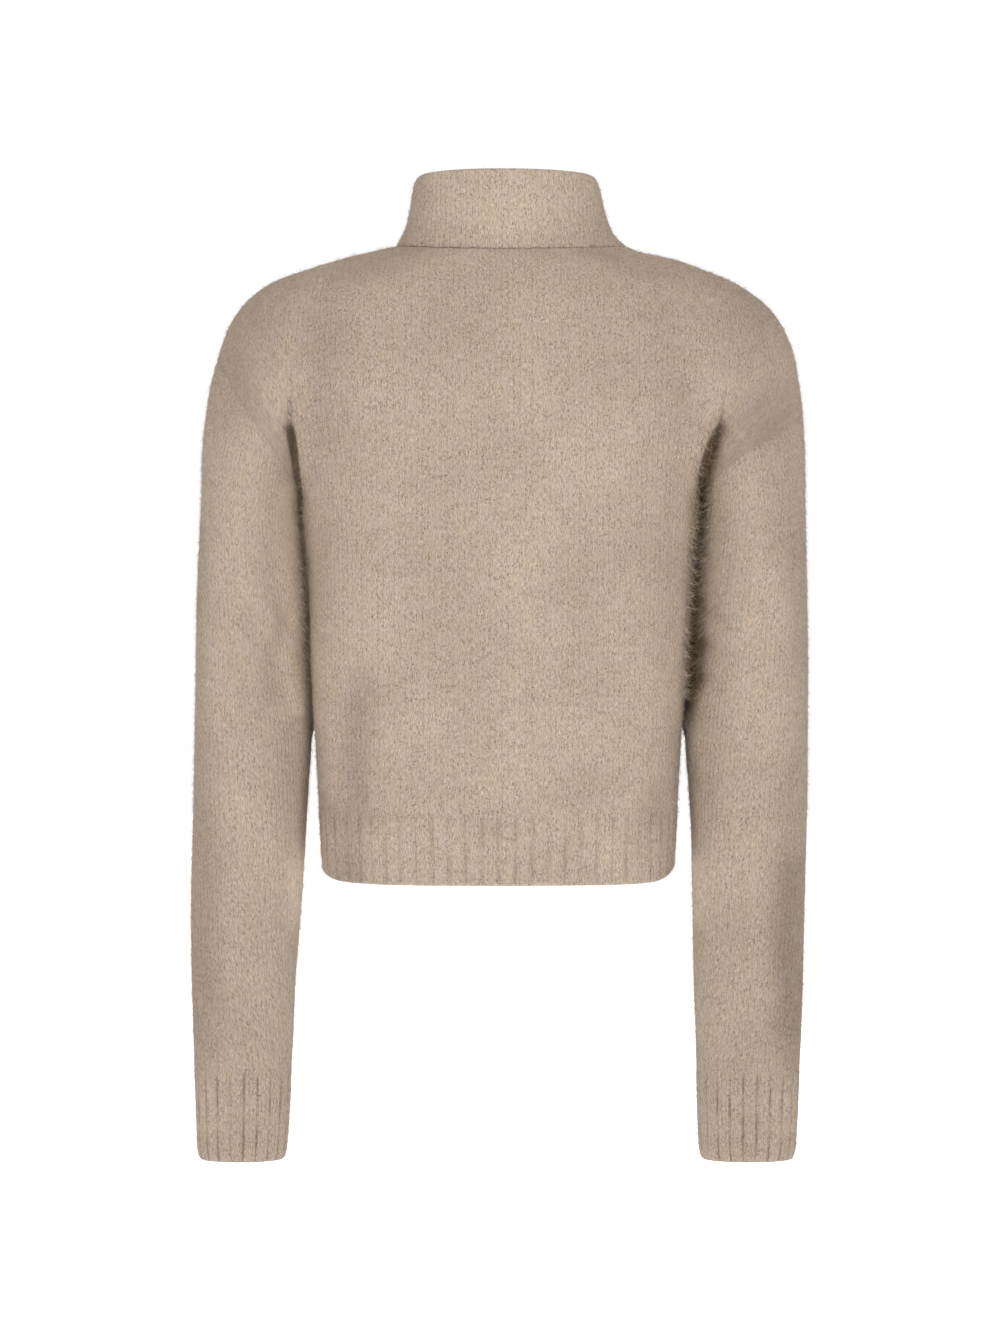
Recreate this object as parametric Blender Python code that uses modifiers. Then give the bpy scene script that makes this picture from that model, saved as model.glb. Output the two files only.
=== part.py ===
"""A cropped zip-up cardigan in brushed oatmeal knit, filled out as worn, with open hollow walls.

The garment faces -Y, +Z is up and the wearer's left is +X. The origin is in the middle of the neck
opening, level with the place where the collar meets the shoulders. Lengths here are millimetres.

The whole cloth is one surface, read by functions. Above the underarm it is a stack of rings that
grow from the neck over the shoulders. Towards the underarm each ring pinches in, front and back,
into a body and two arms, and below the underarm these three go on as tubes. Every panel is a
stretch of that surface, given a wall towards the inside.
"""

import math

import bmesh
import bpy
import numpy as np
from mathutils import Vector

MM = 0.001

# Cloth
WALL = 2.6
SEAM = 0.16
RIB_HEIGHT = 1.3

# Heights below the neck point
UNDERARM = -200.0
PINCH_TOP = -104.0
BODY_RIB_TOP = -446.0
HEM = -506.0
SLEEVE_RIB_TOP = -656.0
CUFF_END = -733.0
ARMHOLE_TOP = {"left": -92.0, "right": -136.0}

# Where the arm folds away from the body, as a share of the ring's half width
PINCH_SHARE = {"left": 0.715, "right": 0.75}
SIDE_SIGN = {"left": 1.0, "right": -1.0}
ARM_BLEND_TOP = -70.0
UNDERARM_OPENING = 48.0
PINCH_SPREAD = 0.16
PINCH_SPREAD_ABOVE = 0.30
PINCH_SOFT_TOP = -115.0

# In front of the side seams the sleeves bear in on the body, from the underarm to above the waist
BEAR_IN = 13.0
BEAR_IN_X = 153.0
BEAR_IN_WIDTH = 30.0
BEAR_IN_LEVELS = (-398.0, -366.0, -224.0, -200.0)
BEAR_IN_BACK = 14.0
BEAR_IN_FRONT = -38.0

# Ribs
HEM_RIB = 13.2
CUFF_RIB = 11.4
RIB_STEPS = ((0.0, 0.0), (0.24, 1.0), (0.76, 1.0))

# Zip
KNIT_EDGE = 6.0
SECOND_COLUMN = 10.0
KNIT_EDGE_SPREAD = 1.6
TAPE_CLEARANCE = 0.5
TAPE_THICKNESS = 0.8
TAPE_OUTER = 13.0
TAPE_INNER = 0.3
TAPE_INNER_AT_BOX = 3.9
TAPE_INNER_AT_TOP = 2.3
BOX_SIZE = (7.0, 3.0, 9.0)
SLIDER_SIZE = (9.4, 12.0)
SLIDER_PLATE = 1.3
SLIDER_BELOW_TOP = 14.0
SLIDER_GAP = 1.5
SLIDER_POST = (1.8, 3.4)
BAIL_INNER = 2.0
BAIL_OUTER = 3.2
BAIL_WIDTH = 2.0
TAB_SIZE = (7.0, 24.0, 1.2)
TAB_HOLE = (3.4, 5.0)
TAB_ABOVE_PLATE = 0.95
EDGE_ROUNDING = 0.3

OATMEAL = (0.50, 0.40, 0.31, 1.0)
OATMEAL_RIB = (0.47, 0.375, 0.29, 1.0)
TAPE_BEIGE = (0.42, 0.34, 0.26, 1.0)
NICKEL = (0.60, 0.58, 0.54, 1.0)


def table(columns, rows):
    """A table as one array for each named column, its rows sorted by height."""
    ordered = sorted(rows)
    return {name: np.array([row[i] for row in ordered], float) for i, name in enumerate(columns.split())}


# Rings from the neck point over the shoulders to the underarm. left and right are half widths,
# back and front are half depths, back_z and front_z are the heights in the middle of each.
YOKE = table(
    "level left right back front back_z front_z power",
    [
        (0, 83.2, 101.6, 70, 76, -8, -60, 2.0),
        (-4, 101.6, 110.4, 73, 78, -12, -63, 2.0),
        (-10.4, 127, 138.4, 77, 81, -18, -69, 2.02),
        (-19, 155, 163, 82, 85, -26, -76, 2.05),
        (-30.4, 184.8, 189.6, 88, 90, -37, -86, 2.1),
        (-50.4, 208, 216, 95, 97, -55, -100, 2.15),
        (-70.4, 219.2, 228.8, 100, 103, -73, -113, 2.2),
        (-90.4, 224.8, 235.2, 104, 108, -92, -125, 2.2),
        (-110.4, 228.8, 237.6, 107, 112, -111, -138, 2.2),
        (-130.4, 231.2, 240.0, 109, 116, -131, -152, 2.2),
        (-150.4, 233.6, 240.8, 109.8, 118.6, -151, -166, 2.24),
        (-170.4, 236.0, 242.4, 110, 119.8, -171, -180, 2.3),
        (-200, 238.2, 243.6, 110, 120, -200, -200, 2.4),
    ],
)

# The body tube below the underarm
BODY = table(
    "level half shift back front power",
    [
        (-200, 157.8, 0.0, 110, 120, 2.4),
        (-222, 156.0, 0.0, 109.8, 119.9, 2.4),
        (-250, 153.9, 0.0, 109, 119.3, 2.4),
        (-290, 151.6, 0.4, 107, 118, 2.4),
        (-338, 149.8, 1.2, 104.6, 116, 2.35),
        (-394, 145.8, 1.2, 102, 113.5, 2.35),
        (-430, 143.8, 1.2, 101, 112, 2.3),
        (-470, 142.0, 1.2, 100, 110.5, 2.3),
        (-506, 140.2, 1.2, 99, 109, 2.3),
    ],
)

# The sleeve tubes: edges away from and next to the body, half depth, and how far they hang forward
SLEEVE = table(
    "level outer_left inner_left outer_right inner_right depth forward",
    [
        (-200, 238.2, 161.4, 243.6, 161.8, 74, 0),
        (-242, 240.4, 158.6, 244.6, 159.4, 69, 1),
        (-290, 242.4, 156.2, 245.6, 156.0, 64, 2),
        (-338, 243.3, 155.2, 246.4, 153.2, 60, 4),
        (-394, 244.6, 151.4, 246.4, 148.8, 56, 7),
        (-430, 245.4, 153.6, 246.4, 151.2, 53.5, 9),
        (-470, 246.4, 156.0, 245.8, 153.6, 51, 12),
        (-510, 247.8, 158.4, 244.8, 154.4, 48.5, 14),
        (-550, 248.2, 161.6, 244.2, 155.2, 46, 17),
        (-590, 247.8, 164.8, 243.6, 156.0, 43, 20),
        (-630, 246.8, 166.4, 242.4, 157.6, 39, 22),
        (-656, 246.2, 168.0, 241.3, 158.2, 35.5, 24),
        (-690, 245.0, 169.6, 240.0, 159.2, 32.5, 26),
        (-720, 244.2, 171.8, 238.6, 160.4, 31.5, 28),
        (-733, 243.0, 173.4, 237.0, 162.0, 31, 28.5),
    ],
)

# The collar from the neck seam (rise 0) to its top edge (rise 1)
COLLAR = table(
    "rise left right back front",
    [
        (0.0, 83.2, 101.6, 70, 76),
        (0.12, 79.8, 94.0, 69.3, 74.8),
        (0.3, 75.6, 88.4, 68.5, 72.5),
        (0.6, 72.0, 83.4, 67.4, 69.5),
        (0.85, 70.2, 80.8, 66.6, 67.2),
        (1.0, 68.6, 78.6, 66, 66),
    ],
)
COLLAR_TOP_BACK = 55.0
COLLAR_TOP_FRONT = 4.0
COLLAR_LEVEL_ARC = math.radians(60)

# Soft folds, each a trough (height below 0) or a ridge along a line seen from the back
FOLDS = table(
    "facing x0 z0 x1 z1 width height",
    [
        (1, 112, -350, 114, -500, 15, -3.6),
        (1, 138, -370, 134, -500, 14, 2.0),
        (1, -66, -415, -64, -490, 16, -2.4),
        (1, -104, -480, -124, -430, 10, -1.6),
        (1, 140, -66, 150, -150, 20, -3.0),
        (1, -128, -60, -150, -150, 20, -3.0),
        (1, 0, -200, 4, -330, 60, 2.0),
        (-1, 128, -90, 148, -170, 16, -3.0),
        (-1, -124, -90, -148, -170, 16, -3.0),
        (-1, 84, -330, 92, -495, 16, -2.4),
        (-1, -90, -300, -84, -495, 16, -2.4),
        (-1, 48, -200, 60, -300, 22, -1.6),
        (1, 196, -300, 176, -352, 13, -2.8),
        (1, 214, -330, 190, -372, 11, -1.8),
        (1, -214, -420, -228, -560, 18, -2.0),
        (-1, 236, -318, 190, -350, 12, -3.4),
        (-1, 232, -360, 186, -384, 12, -2.6),
        (-1, -236, -310, -190, -346, 12, -3.2),
        (-1, -232, -356, -188, -386, 12, -2.4),
        (1, 224, -610, 196, -640, 9, -1.6),
        (1, -220, -612, -188, -642, 9, -1.8),
        (-1, 222, -604, 192, -640, 9, -2.0),
        (-1, -214, -606, -184, -640, 9, -2.0),
    ],
)


def read(data, column, level):
    """A table column at any level, on a smooth curve through its rows that adds no bumps."""
    x = next(iter(data.values()))
    y = data[column]
    run = np.diff(x)
    slope = np.diff(y) / run
    tangent = np.zeros_like(y)
    tangent[0] = slope[0]
    tangent[-1] = slope[-1]
    for i in range(1, len(x) - 1):
        if slope[i - 1] * slope[i] > 0:
            tangent[i] = 2 * slope[i - 1] * slope[i] / (slope[i - 1] + slope[i])
    level = min(max(level, x[0]), x[-1])
    i = min(int(np.searchsorted(x, level, side="right")) - 1, len(run) - 1)
    t = (level - x[i]) / run[i]
    rise = y[i] * (1 + 2 * t) * (1 - t) ** 2 + y[i + 1] * t * t * (3 - 2 * t)
    return rise + run[i] * (tangent[i] * t * (1 - t) ** 2 - tangent[i + 1] * t * t * (1 - t))


def smoothstep(low, high, value):
    t = min(max((value - low) / (high - low), 0.0), 1.0)
    return t * t * (3 - 2 * t)


def oval(half_x, half_y, power, turn):
    """A point of a rounded-square oval. turn is 0 in the middle of the back, 90 degrees at +X."""
    sine = math.sin(turn)
    cosine = math.cos(turn)
    x = half_x * math.copysign(abs(sine) ** (2 / power), sine)
    y = half_y * math.copysign(abs(cosine) ** (2 / power), cosine)
    return x, y


def pinch_turn(side):
    """The turn on a yoke ring at which the arm folds away from the body."""
    return math.asin(PINCH_SHARE[side] ** 1.08)


def yoke_point(side, level, turn):
    """A point of the yoke. turn runs from 0 at centre back to 180 degrees at centre front."""
    back = turn <= math.pi / 2
    depth = read(YOKE, "back" if back else "front", level)
    x, y = oval(read(YOKE, side, level), depth, read(YOKE, "power", level), turn)
    middle = read(YOKE, "back_z" if back else "front_z", level)
    share = abs(math.cos(turn)) ** (1.4 if back else 2.0)
    return np.array([x * SIDE_SIGN[side], y, level + (middle - level) * share])


def meeting_x(side):
    """The distance from the middle at which arm and body meet in the underarm."""
    inner = read(SLEEVE, "inner_" + side, UNDERARM)
    return (inner + read(BODY, "half", UNDERARM)) / 2


def opened(level):
    """How far the gap between arm and body has opened, from 0 at the underarm to 1."""
    return math.sqrt(min(max((UNDERARM - level) / UNDERARM_OPENING, 0.0), 1.0))


def pinched(ring, tube, level, nearness):
    """A ring point on its way to separate arm and body tubes, sharper near the pinch itself."""
    rise = min((level - UNDERARM) / (PINCH_TOP - UNDERARM), 1.0)
    soft = 1.0 - smoothstep(UNDERARM, ARM_BLEND_TOP, level)
    across = nearness * (1.0 - rise) + (1.0 - nearness) * soft
    deep = nearness * (1.0 - math.sqrt(rise)) + (1.0 - nearness) * soft
    x = ring[0] + (tube[0] - ring[0]) * across
    y = ring[1] + (tube[1] - ring[1]) * deep
    return np.array([x, y, ring[2]])


def pinch_reach(level):
    """The share of a half ring over which the pinch acts, wider higher up."""
    return 2 * (PINCH_SPREAD + PINCH_SPREAD_ABOVE * smoothstep(UNDERARM, PINCH_SOFT_TOP, level))


def bearing_in(point):
    """Moves a point of a tube sideways where sleeve and body press on each other."""
    low, full_low, full_high, high = BEAR_IN_LEVELS
    strength = smoothstep(low, full_low, point[2]) * (1 - smoothstep(full_high, high, point[2]))
    front = 1 - smoothstep(BEAR_IN_FRONT, BEAR_IN_BACK, point[1])
    window = math.exp(-(((abs(point[0]) - BEAR_IN_X) / BEAR_IN_WIDTH) ** 2))
    point[0] -= math.copysign(BEAR_IN * strength * front * window, point[0])
    return point


def yoke_turn(side, share):
    """The turn on a yoke ring of a body column; share is 0 in the middle and 1 at the pinch."""
    return pinch_turn(side) * (1 - (1 - share) ** 1.6)


def body_tube(side, level, turn):
    """A point of the body tube, which meets the arm exactly at the underarm."""
    level = min(level, UNDERARM)
    half = read(BODY, "half", level)
    shift = read(BODY, "shift", level) * SIDE_SIGN[side]
    half = half + shift + (meeting_x(side) - half - shift) * (1 - opened(level))
    depth = read(BODY, "back" if turn <= math.pi / 2 else "front", level)
    x, y = oval(half, depth, read(BODY, "power", level), turn)
    return np.array([x * SIDE_SIGN[side], y, level])


def arm_tube(side, level, round_share):
    """A point of the sleeve tube. round_share is 0 next to the body and 0.25 at the back."""
    level = min(level, UNDERARM)
    outer = read(SLEEVE, "outer_" + side, level)
    inner = read(SLEEVE, "inner_" + side, level)
    inner = inner + (meeting_x(side) - inner) * (1 - opened(level))
    x, y = oval((outer - inner) / 2, read(SLEEVE, "depth", level), 2.15, 2 * math.pi * round_share - math.pi / 2)
    centre = (outer + inner) / 2
    return np.array([(centre + x) * SIDE_SIGN[side], y - read(SLEEVE, "forward", level), level])


def body_point(side, half, share, level):
    """Body surface: share is 0 in the middle and 1 at the side, half is back or front."""
    near_turn = yoke_turn(side, share)
    tube_turn = math.pi / 2 * share
    if half == "front":
        near_turn = math.pi - near_turn
        tube_turn = math.pi - tube_turn
    tube = body_tube(side, level, tube_turn)
    if level <= UNDERARM:
        return bearing_in(tube)
    nearness = smoothstep(1 - pinch_reach(level), 1, share)
    return pinched(yoke_point(side, level, near_turn), tube, level, nearness)


def arm_point(side, round_share, level):
    """Arm surface: round_share runs 0..1 from the pinch over the back to the front pinch."""
    tube = arm_tube(side, level, round_share)
    if level <= UNDERARM:
        return bearing_in(tube)
    from_pinch = min(round_share, 1 - round_share) * 2
    start = pinch_turn(side)
    turn = start + (math.pi / 2 - start) * from_pinch**1.7
    if round_share > 0.5:
        turn = math.pi - turn
    nearness = 1 - smoothstep(0, pinch_reach(level), from_pinch)
    return pinched(yoke_point(side, level, turn), tube, level, nearness)


def armhole_level(side, round_share):
    """Height of the dropped armhole seam round the arm."""
    up = math.sin(math.pi * min(round_share, 1 - round_share)) ** 1.4
    return UNDERARM + (ARMHOLE_TOP[side] - UNDERARM) * up


def collar_point(side, turn, rise):
    """Collar surface from the neck seam to its top edge, which dips towards the front."""
    base = yoke_point(side, 0.0, turn)
    fall = min(max((turn - COLLAR_LEVEL_ARC) / (math.pi - COLLAR_LEVEL_ARC), 0.0), 1.0)
    top = COLLAR_TOP_BACK + (COLLAR_TOP_FRONT - COLLAR_TOP_BACK) * (1 - math.cos(math.pi * fall)) / 2
    depth = read(COLLAR, "back" if turn <= math.pi / 2 else "front", rise)
    x, y = oval(read(COLLAR, side, rise), depth, 2.0 + 0.1 * rise, turn)
    return np.array([x * SIDE_SIGN[side], y, base[2] + (top - base[2]) * rise])


def fold_height(point):
    """How far the folds push the cloth out at a point."""
    height = 0.0
    rows = zip(*(FOLDS[name] for name in FOLDS))
    for facing, x0, z0, x1, z1, width, rise in rows:
        if facing * point[1] <= 0:
            continue
        run = np.array([x1 - x0, z1 - z0])
        offset = np.array([point[0] - x0, point[2] - z0])
        along = min(max(offset @ run / (run @ run), 0.0), 1.0)
        away = np.linalg.norm(offset - run * along)
        height += rise * math.exp(-((away / width) ** 2)) * smoothstep(0, 30, abs(point[1]))
    return height


# Columns and rows of the panels
ARM_COLUMNS = 20
BODY_SHARES = [0.0, 0.16, 0.31, 0.45, 0.58, 0.7, 0.81, 0.91, 1.0]
NEAR_ZIP = np.linspace(0, 0.16, 9)
ABOVE_UNDERARM = [-196.1, -184.5, -165, -138, -112, -90.4, -70.4, -50.4, -30.4, -19, -10.4, -4, 0]
BELOW_UNDERARM = [-446, -408, -370, -330, -290, -255, -228, -210, -202.5, -200]
SLEEVE_STEPS = [0, 0.012, 0.05, 0.11, 0.19, 0.27, 0.35, 0.43, 0.52, 0.61, 0.7, 0.8, 0.9, 1]
COLLAR_RISES = [0.0, 0.12, 0.35, 0.7, 1.0]
HEM_ROWS = [0.0, 0.5, 1.0]
CUFF_ROWS = [0.0, 0.5, 1.0]
HEM_SIDE_LIFT = 10.0
# Both edges of a seam cut their rims alike, from the end that is further along this direction
RIM_LEAN = np.array([0.31, 0.47, 1.0])


def front_edge(level):
    """Half the distance between the knit edges beside the zip, wider at the slider."""
    return KNIT_EDGE + KNIT_EDGE_SPREAD * smoothstep(-45, 0, level)


def grid(rows, columns, point):
    return np.array([[point(row, column) for column in columns] for row in rows])


def with_zip_edge(points, fine):
    """The front grid with its middle column replaced by one beside the zip and the knit edge."""
    rows = []
    for r, row in enumerate(points):
        line = fine(r)
        side = math.copysign(1, line[-1][0])
        added = []
        for x in (SECOND_COLUMN, front_edge(line[0][2])):
            y, z = (np.interp(x, np.abs(line[:, 0]), line[:, i]) for i in (1, 2))
            added.append((side * x, y, z))
        rows.append(list(row[:-1]) + added)
    return np.array(rows)


def body_grid(side, half):
    """Body rows from the rib to the neck; columns from the side to the middle."""
    levels = BELOW_UNDERARM + ABOVE_UNDERARM
    shares = BODY_SHARES[::-1]
    points = grid(levels, shares, lambda level, share: body_point(side, half, share, level))
    if half == "back":
        return points
    return with_zip_edge(points, lambda r: np.array([body_point(side, half, s, levels[r]) for s in NEAR_ZIP]))


def lobe_grid(side, half):
    """The body's cloth over the arm, from the armhole seam up to the neck."""
    half_columns = ARM_COLUMNS // 2
    levels = [UNDERARM] + ABOVE_UNDERARM
    points = []
    for level in levels:
        row = []
        for i in range(half_columns + 1):
            share = i / ARM_COLUMNS if half == "back" else 1 - i / ARM_COLUMNS
            start = armhole_level(side, share)
            here = start + (level - UNDERARM) / (0 - UNDERARM) * (0 - start)
            row.append(arm_point(side, share, here))
        points.append(row)
    return np.array(points)


def sleeve_grid(side):
    """Sleeve rows from the armhole seam to the rib, all round."""
    points = []
    for step in SLEEVE_STEPS:
        row = []
        for i in range(ARM_COLUMNS + 1):
            share = (i % ARM_COLUMNS) / ARM_COLUMNS
            start = armhole_level(side, share)
            row.append(arm_point(side, share, start + (SLEEVE_RIB_TOP - start) * step))
        points.append(row)
    return np.array(points)


def collar_turns(side):
    """The yoke's columns at the neck seam, from centre back to centre front."""
    start = pinch_turn(side)
    body = [yoke_turn(side, share) for share in BODY_SHARES]
    arm = []
    for i in range(1, ARM_COLUMNS // 2 + 1):
        arm.append(start + (math.pi / 2 - start) * (2 * i / ARM_COLUMNS) ** 1.7)
    back = body + arm
    return back + [math.pi - turn for turn in back[-2::-1]]


def collar_grid(side):
    """Collar rows from the neck seam up; columns from centre back to the zip."""
    points = grid(COLLAR_RISES, collar_turns(side), lambda rise, turn: collar_point(side, turn, rise))
    turns = [math.pi - yoke_turn(side, share) for share in NEAR_ZIP]
    return with_zip_edge(points, lambda r: np.array([collar_point(side, t, COLLAR_RISES[r]) for t in turns]))


def even_turns(point, start, end, pitch):
    """Turns at the rib grooves and crests, evenly spaced along a curve."""
    fine = np.linspace(start, end, 721)
    places = np.array([point(turn) for turn in fine])
    length = np.concatenate([[0], np.cumsum(np.linalg.norm(np.diff(places, axis=0), axis=1))])
    count = max(round(length[-1] / pitch), 1)
    turns = []
    raised = []
    for rib in range(count):
        for share, height in RIB_STEPS:
            turns.append(np.interp((rib + share) / count * length[-1], length, fine))
            raised.append(height)
    return turns + [end], raised + [0.0]


def zip_turn(side):
    """The turn at which the hem rib ends beside the zip."""
    half = read(BODY, "half", BODY_RIB_TOP) + read(BODY, "shift", BODY_RIB_TOP) * SIDE_SIGN[side]
    power = read(BODY, "power", BODY_RIB_TOP)
    return math.pi - math.asin((KNIT_EDGE / half) ** (power / 2))


def hem_grid(half):
    """The hem rib under the back, left front or right front, with its rib heights."""
    level = BODY_RIB_TOP

    def place(turn, row=0.0):
        side = "left" if turn >= 0 else "right"
        low = HEM + HEM_SIDE_LIFT * abs(math.sin(turn)) ** 16
        point = body_tube(side, level + (HEM - level) * row, abs(turn))
        point[2] = level + (low - level) * row
        return point

    quarter = math.pi / 2
    start, end = {"back": (quarter, -quarter), "left": (quarter, zip_turn("left")),
                  "right": (-quarter, -zip_turn("right"))}[half]
    turns, raised = even_turns(place, start, end, HEM_RIB)
    return grid(HEM_ROWS, turns, lambda row, turn: place(turn, row)), raised


def cuff_grid(side):
    """The cuff rib, all round, with its rib heights."""

    def place(share, row=0.0):
        return arm_tube(side, SLEEVE_RIB_TOP + (CUFF_END - SLEEVE_RIB_TOP) * row, share)

    shares, raised = even_turns(place, 0.0, 1.0, CUFF_RIB)
    points = grid(CUFF_ROWS, shares, lambda row, share: place(share, row))
    points[:, -1] = points[:, 0]
    return points, raised


def key(point):
    return tuple(round(float(value), 4) for value in point)


def facing_out(points, own_axis=False):
    """The grid with its columns ordered so that its faces look away from the tube's axis."""
    total = 0.0
    for r in range(len(points) - 1):
        ring = (points[r] + points[r + 1]) / 2
        axis = ring[:-1].mean(axis=0) if own_axis else np.zeros(3)
        across = np.diff(ring, axis=0)
        up = points[r + 1][:-1] - points[r][:-1]
        normal = np.cross(across, up)
        outward = ring[:-1] - axis
        total += float((normal[:, :2] * outward[:, :2]).sum())
    return points if total > 0 else points[:, ::-1]


def point_normals(grids):
    """Unit normals out of the garment, shared by all the panels that meet in a point."""
    total = {}
    for points in grids:
        for r in range(len(points) - 1):
            for c in range(points.shape[1] - 1):
                corners = (points[r][c], points[r][c + 1], points[r + 1][c + 1], points[r + 1][c])
                for i, corner in enumerate(corners):
                    onward = corners[(i + 1) % 4] - corner
                    back = corners[i - 1] - corner
                    normal = np.cross(onward, back)
                    size = np.linalg.norm(normal)
                    share = normal / size * math.atan2(size, onward @ back)
                    total[key(corner)] = total.get(key(corner), 0) + share
    return {place: normal / np.linalg.norm(normal) for place, normal in total.items()}


def crease_normals(grids, normals):
    """Turns the normals along the crease between arm and body into the plane of the crease."""
    for side in SIDE_SIGN:
        for half, sign in (("back", 1), ("front", -1)):
            points = grids["lobe", side, half]
            line = points[:, int(np.argmin(points[0][:, 2]))]
            for i, point in enumerate(line):
                run = line[i + 1] - line[i - 1] if i else np.array([0.0, sign, 0.0])
                if point[2] > PINCH_TOP:
                    break
                crease = np.array([0.0, sign * run[2], -abs(run[1])])
                share = 1 - smoothstep(UNDERARM, PINCH_TOP, point[2])
                mixed = normals[key(point)] * (1 - share) + crease / np.linalg.norm(crease) * share
                normals[key(point)] = mixed / np.linalg.norm(mixed)


def pulled(points, row, towards, distance=SEAM, columns=None):
    """Moves a row of the grid a little towards another row, to leave half a seam gap."""
    for c in range(points.shape[1]) if columns is None else columns:
        run = points[towards][c] - points[row][c]
        points[row][c] = points[row][c] + run / np.linalg.norm(run) * distance


def make_patch(exact, normals, shape_seams=None, raised=None):
    """Outer and inner points of a panel's wall, with its folds and ribs on the outside."""
    placed = exact.copy()
    if shape_seams:
        shape_seams(placed)
    outer = np.empty_like(placed)
    inner = np.empty_like(placed)
    for r in range(len(placed)):
        for c in range(placed.shape[1]):
            normal = normals[key(exact[r][c])]
            point = placed[r][c] + normal * fold_height(exact[r][c])
            rib = RIB_HEIGHT * raised[c] if raised else 0.0
            outer[r][c] = point + normal * rib
            inner[r][c] = point - normal * WALL
    return outer, inner


def part_object(name, mesh, material, collection):
    thing = bpy.data.objects.new(name, mesh)
    thing.data.materials.append(material)
    collection.objects.link(thing)
    return thing


def halved(corners, turn):
    """Two triangles from a four-cornered face, cut at its first corner or at the next one."""
    a, b, c, d = corners[turn:] + corners[:turn]
    return [[a, b, c], [a, c, d]]


def wall(name, patches, material, collection):
    """One closed wall from patches that share their edge points: outside, inside and rims."""
    index = {}
    outside = []
    inside = []
    faces = []
    for outer, inner in patches:
        rows, columns = outer.shape[:2]
        for r in range(rows):
            for c in range(columns):
                place = key(outer[r][c])
                if place not in index:
                    index[place] = len(outside)
                    outside.append(outer[r][c])
                    inside.append(inner[r][c])
        for r in range(rows - 1):
            for c in range(columns - 1):
                loop = (outer[r][c], outer[r][c + 1], outer[r + 1][c + 1], outer[r + 1][c])
                turn = int(np.linalg.norm(loop[0] - loop[2]) > np.linalg.norm(loop[1] - loop[3]))
                faces += halved([index[key(corner)] for corner in loop], turn)
    count = len(outside)
    used = {}
    for face in faces:
        for a, b in zip(face, face[1:] + face[:1]):
            used[(a, b)] = used.get((a, b), 0) + 1
    rims = []
    for a, b in used:
        if (b, a) not in used:
            rims += halved([b, a, a + count, b + count], int(outside[a] @ RIM_LEAN > outside[b] @ RIM_LEAN))
    backs = [[corner + count for corner in reversed(face)] for face in faces]
    mesh = bpy.data.meshes.new(name)
    points = [Vector(point) * MM for point in outside + inside]
    mesh.from_pydata(points, [], faces + backs + rims)
    mesh.shade_smooth()
    mesh.set_sharp_from_angle(angle=math.radians(50))
    return part_object(name, mesh, material, collection)


def principled(name, colour, roughness, metallic):
    material = bpy.data.materials.new(name)
    material.use_nodes = True
    shader = material.node_tree.nodes["Principled BSDF"]
    shader.inputs["Base Color"].default_value = colour
    shader.inputs["Roughness"].default_value = roughness
    shader.inputs["Metallic"].default_value = metallic
    return material


def clear_scene():
    for thing in list(bpy.data.objects):
        bpy.data.objects.remove(thing, do_unlink=True)


def cloth_grids():
    """Every stretch of the cloth as exact points, by name."""
    grids = {}
    for side in SIDE_SIGN:
        for half in ("back", "front"):
            grids["body", side, half] = facing_out(body_grid(side, half))
            grids["lobe", side, half] = facing_out(lobe_grid(side, half))
        grids["sleeve", side] = facing_out(sleeve_grid(side), own_axis=True)
        grids["collar", side] = facing_out(collar_grid(side))
    return grids


def side_seam(side, sign):
    """Half a seam gap at the side and underarm: moves the body grid's side column."""

    def shape(points):
        flipped = abs(points[0][-1][0]) > abs(points[0][0][0])
        side_column = points.shape[1] - 1 if flipped else 0
        for r in range(len(BELOW_UNDERARM)):
            points[r][side_column][1] += sign * SEAM
        points[len(BELOW_UNDERARM) - 1][side_column][0] -= SIDE_SIGN[side] * SEAM
        pulled(points, 0, 1)
        pulled(points, -1, -2)

    return shape


def lobe_seams(side, sign):
    """Half a seam gap along the armhole, the shoulder and the neck of a lobe."""

    def shape(points):
        corner = int(np.argmin(points[0][:, 2]))
        ridge = points.shape[1] - 1 - corner
        pulled(points, -1, -2)
        pulled(points, 0, 1, columns=[c for c in range(points.shape[1]) if c != corner])
        points[0][corner] += (-SIDE_SIGN[side] * SEAM, sign * SEAM, 0)
        for r in range(len(points)):
            points[r][ridge][1] += sign * SEAM

    return shape


def sleeve_seams(side):
    """Half a seam gap at both ends of a sleeve, and sideways in the underarm."""

    def shape(points):
        pulled(points, 0, 1)
        pulled(points, -1, -2)
        points[0][[0, -1], 0] += SIDE_SIGN[side] * SEAM

    return shape


def first_seam(points):
    pulled(points, 0, 1)


def hem_side_seams(signs):
    """Half a seam gap at the hem rib's side ends; a sign of 0 leaves that end alone."""

    def shape(points):
        for column, sign in zip((0, -1), signs):
            points[:, column, 1] += sign * SEAM
        pulled(points, 0, 1)

    return shape


def build_panels(grids, normals, cloth, collection):
    for half, sign in (("back", 1), ("front", -1)):
        sides = {}
        for side in SIDE_SIGN:
            body = make_patch(grids["body", side, half], normals, side_seam(side, sign))
            lobe = make_patch(grids["lobe", side, half], normals, lobe_seams(side, sign))
            sides[side] = [body, lobe]
        if half == "back":
            wall("back", sides["left"] + sides["right"], cloth, collection)
        else:
            wall("front_left", sides["left"], cloth, collection)
            wall("front_right", sides["right"], cloth, collection)
    for side in SIDE_SIGN:
        tube = make_patch(grids["sleeve", side], normals, sleeve_seams(side))
        wall("sleeve_" + side, [tube], cloth, collection)
    halves = [make_patch(grids["collar", side], normals, first_seam) for side in SIDE_SIGN]
    wall("collar", halves, cloth, collection)


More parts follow.
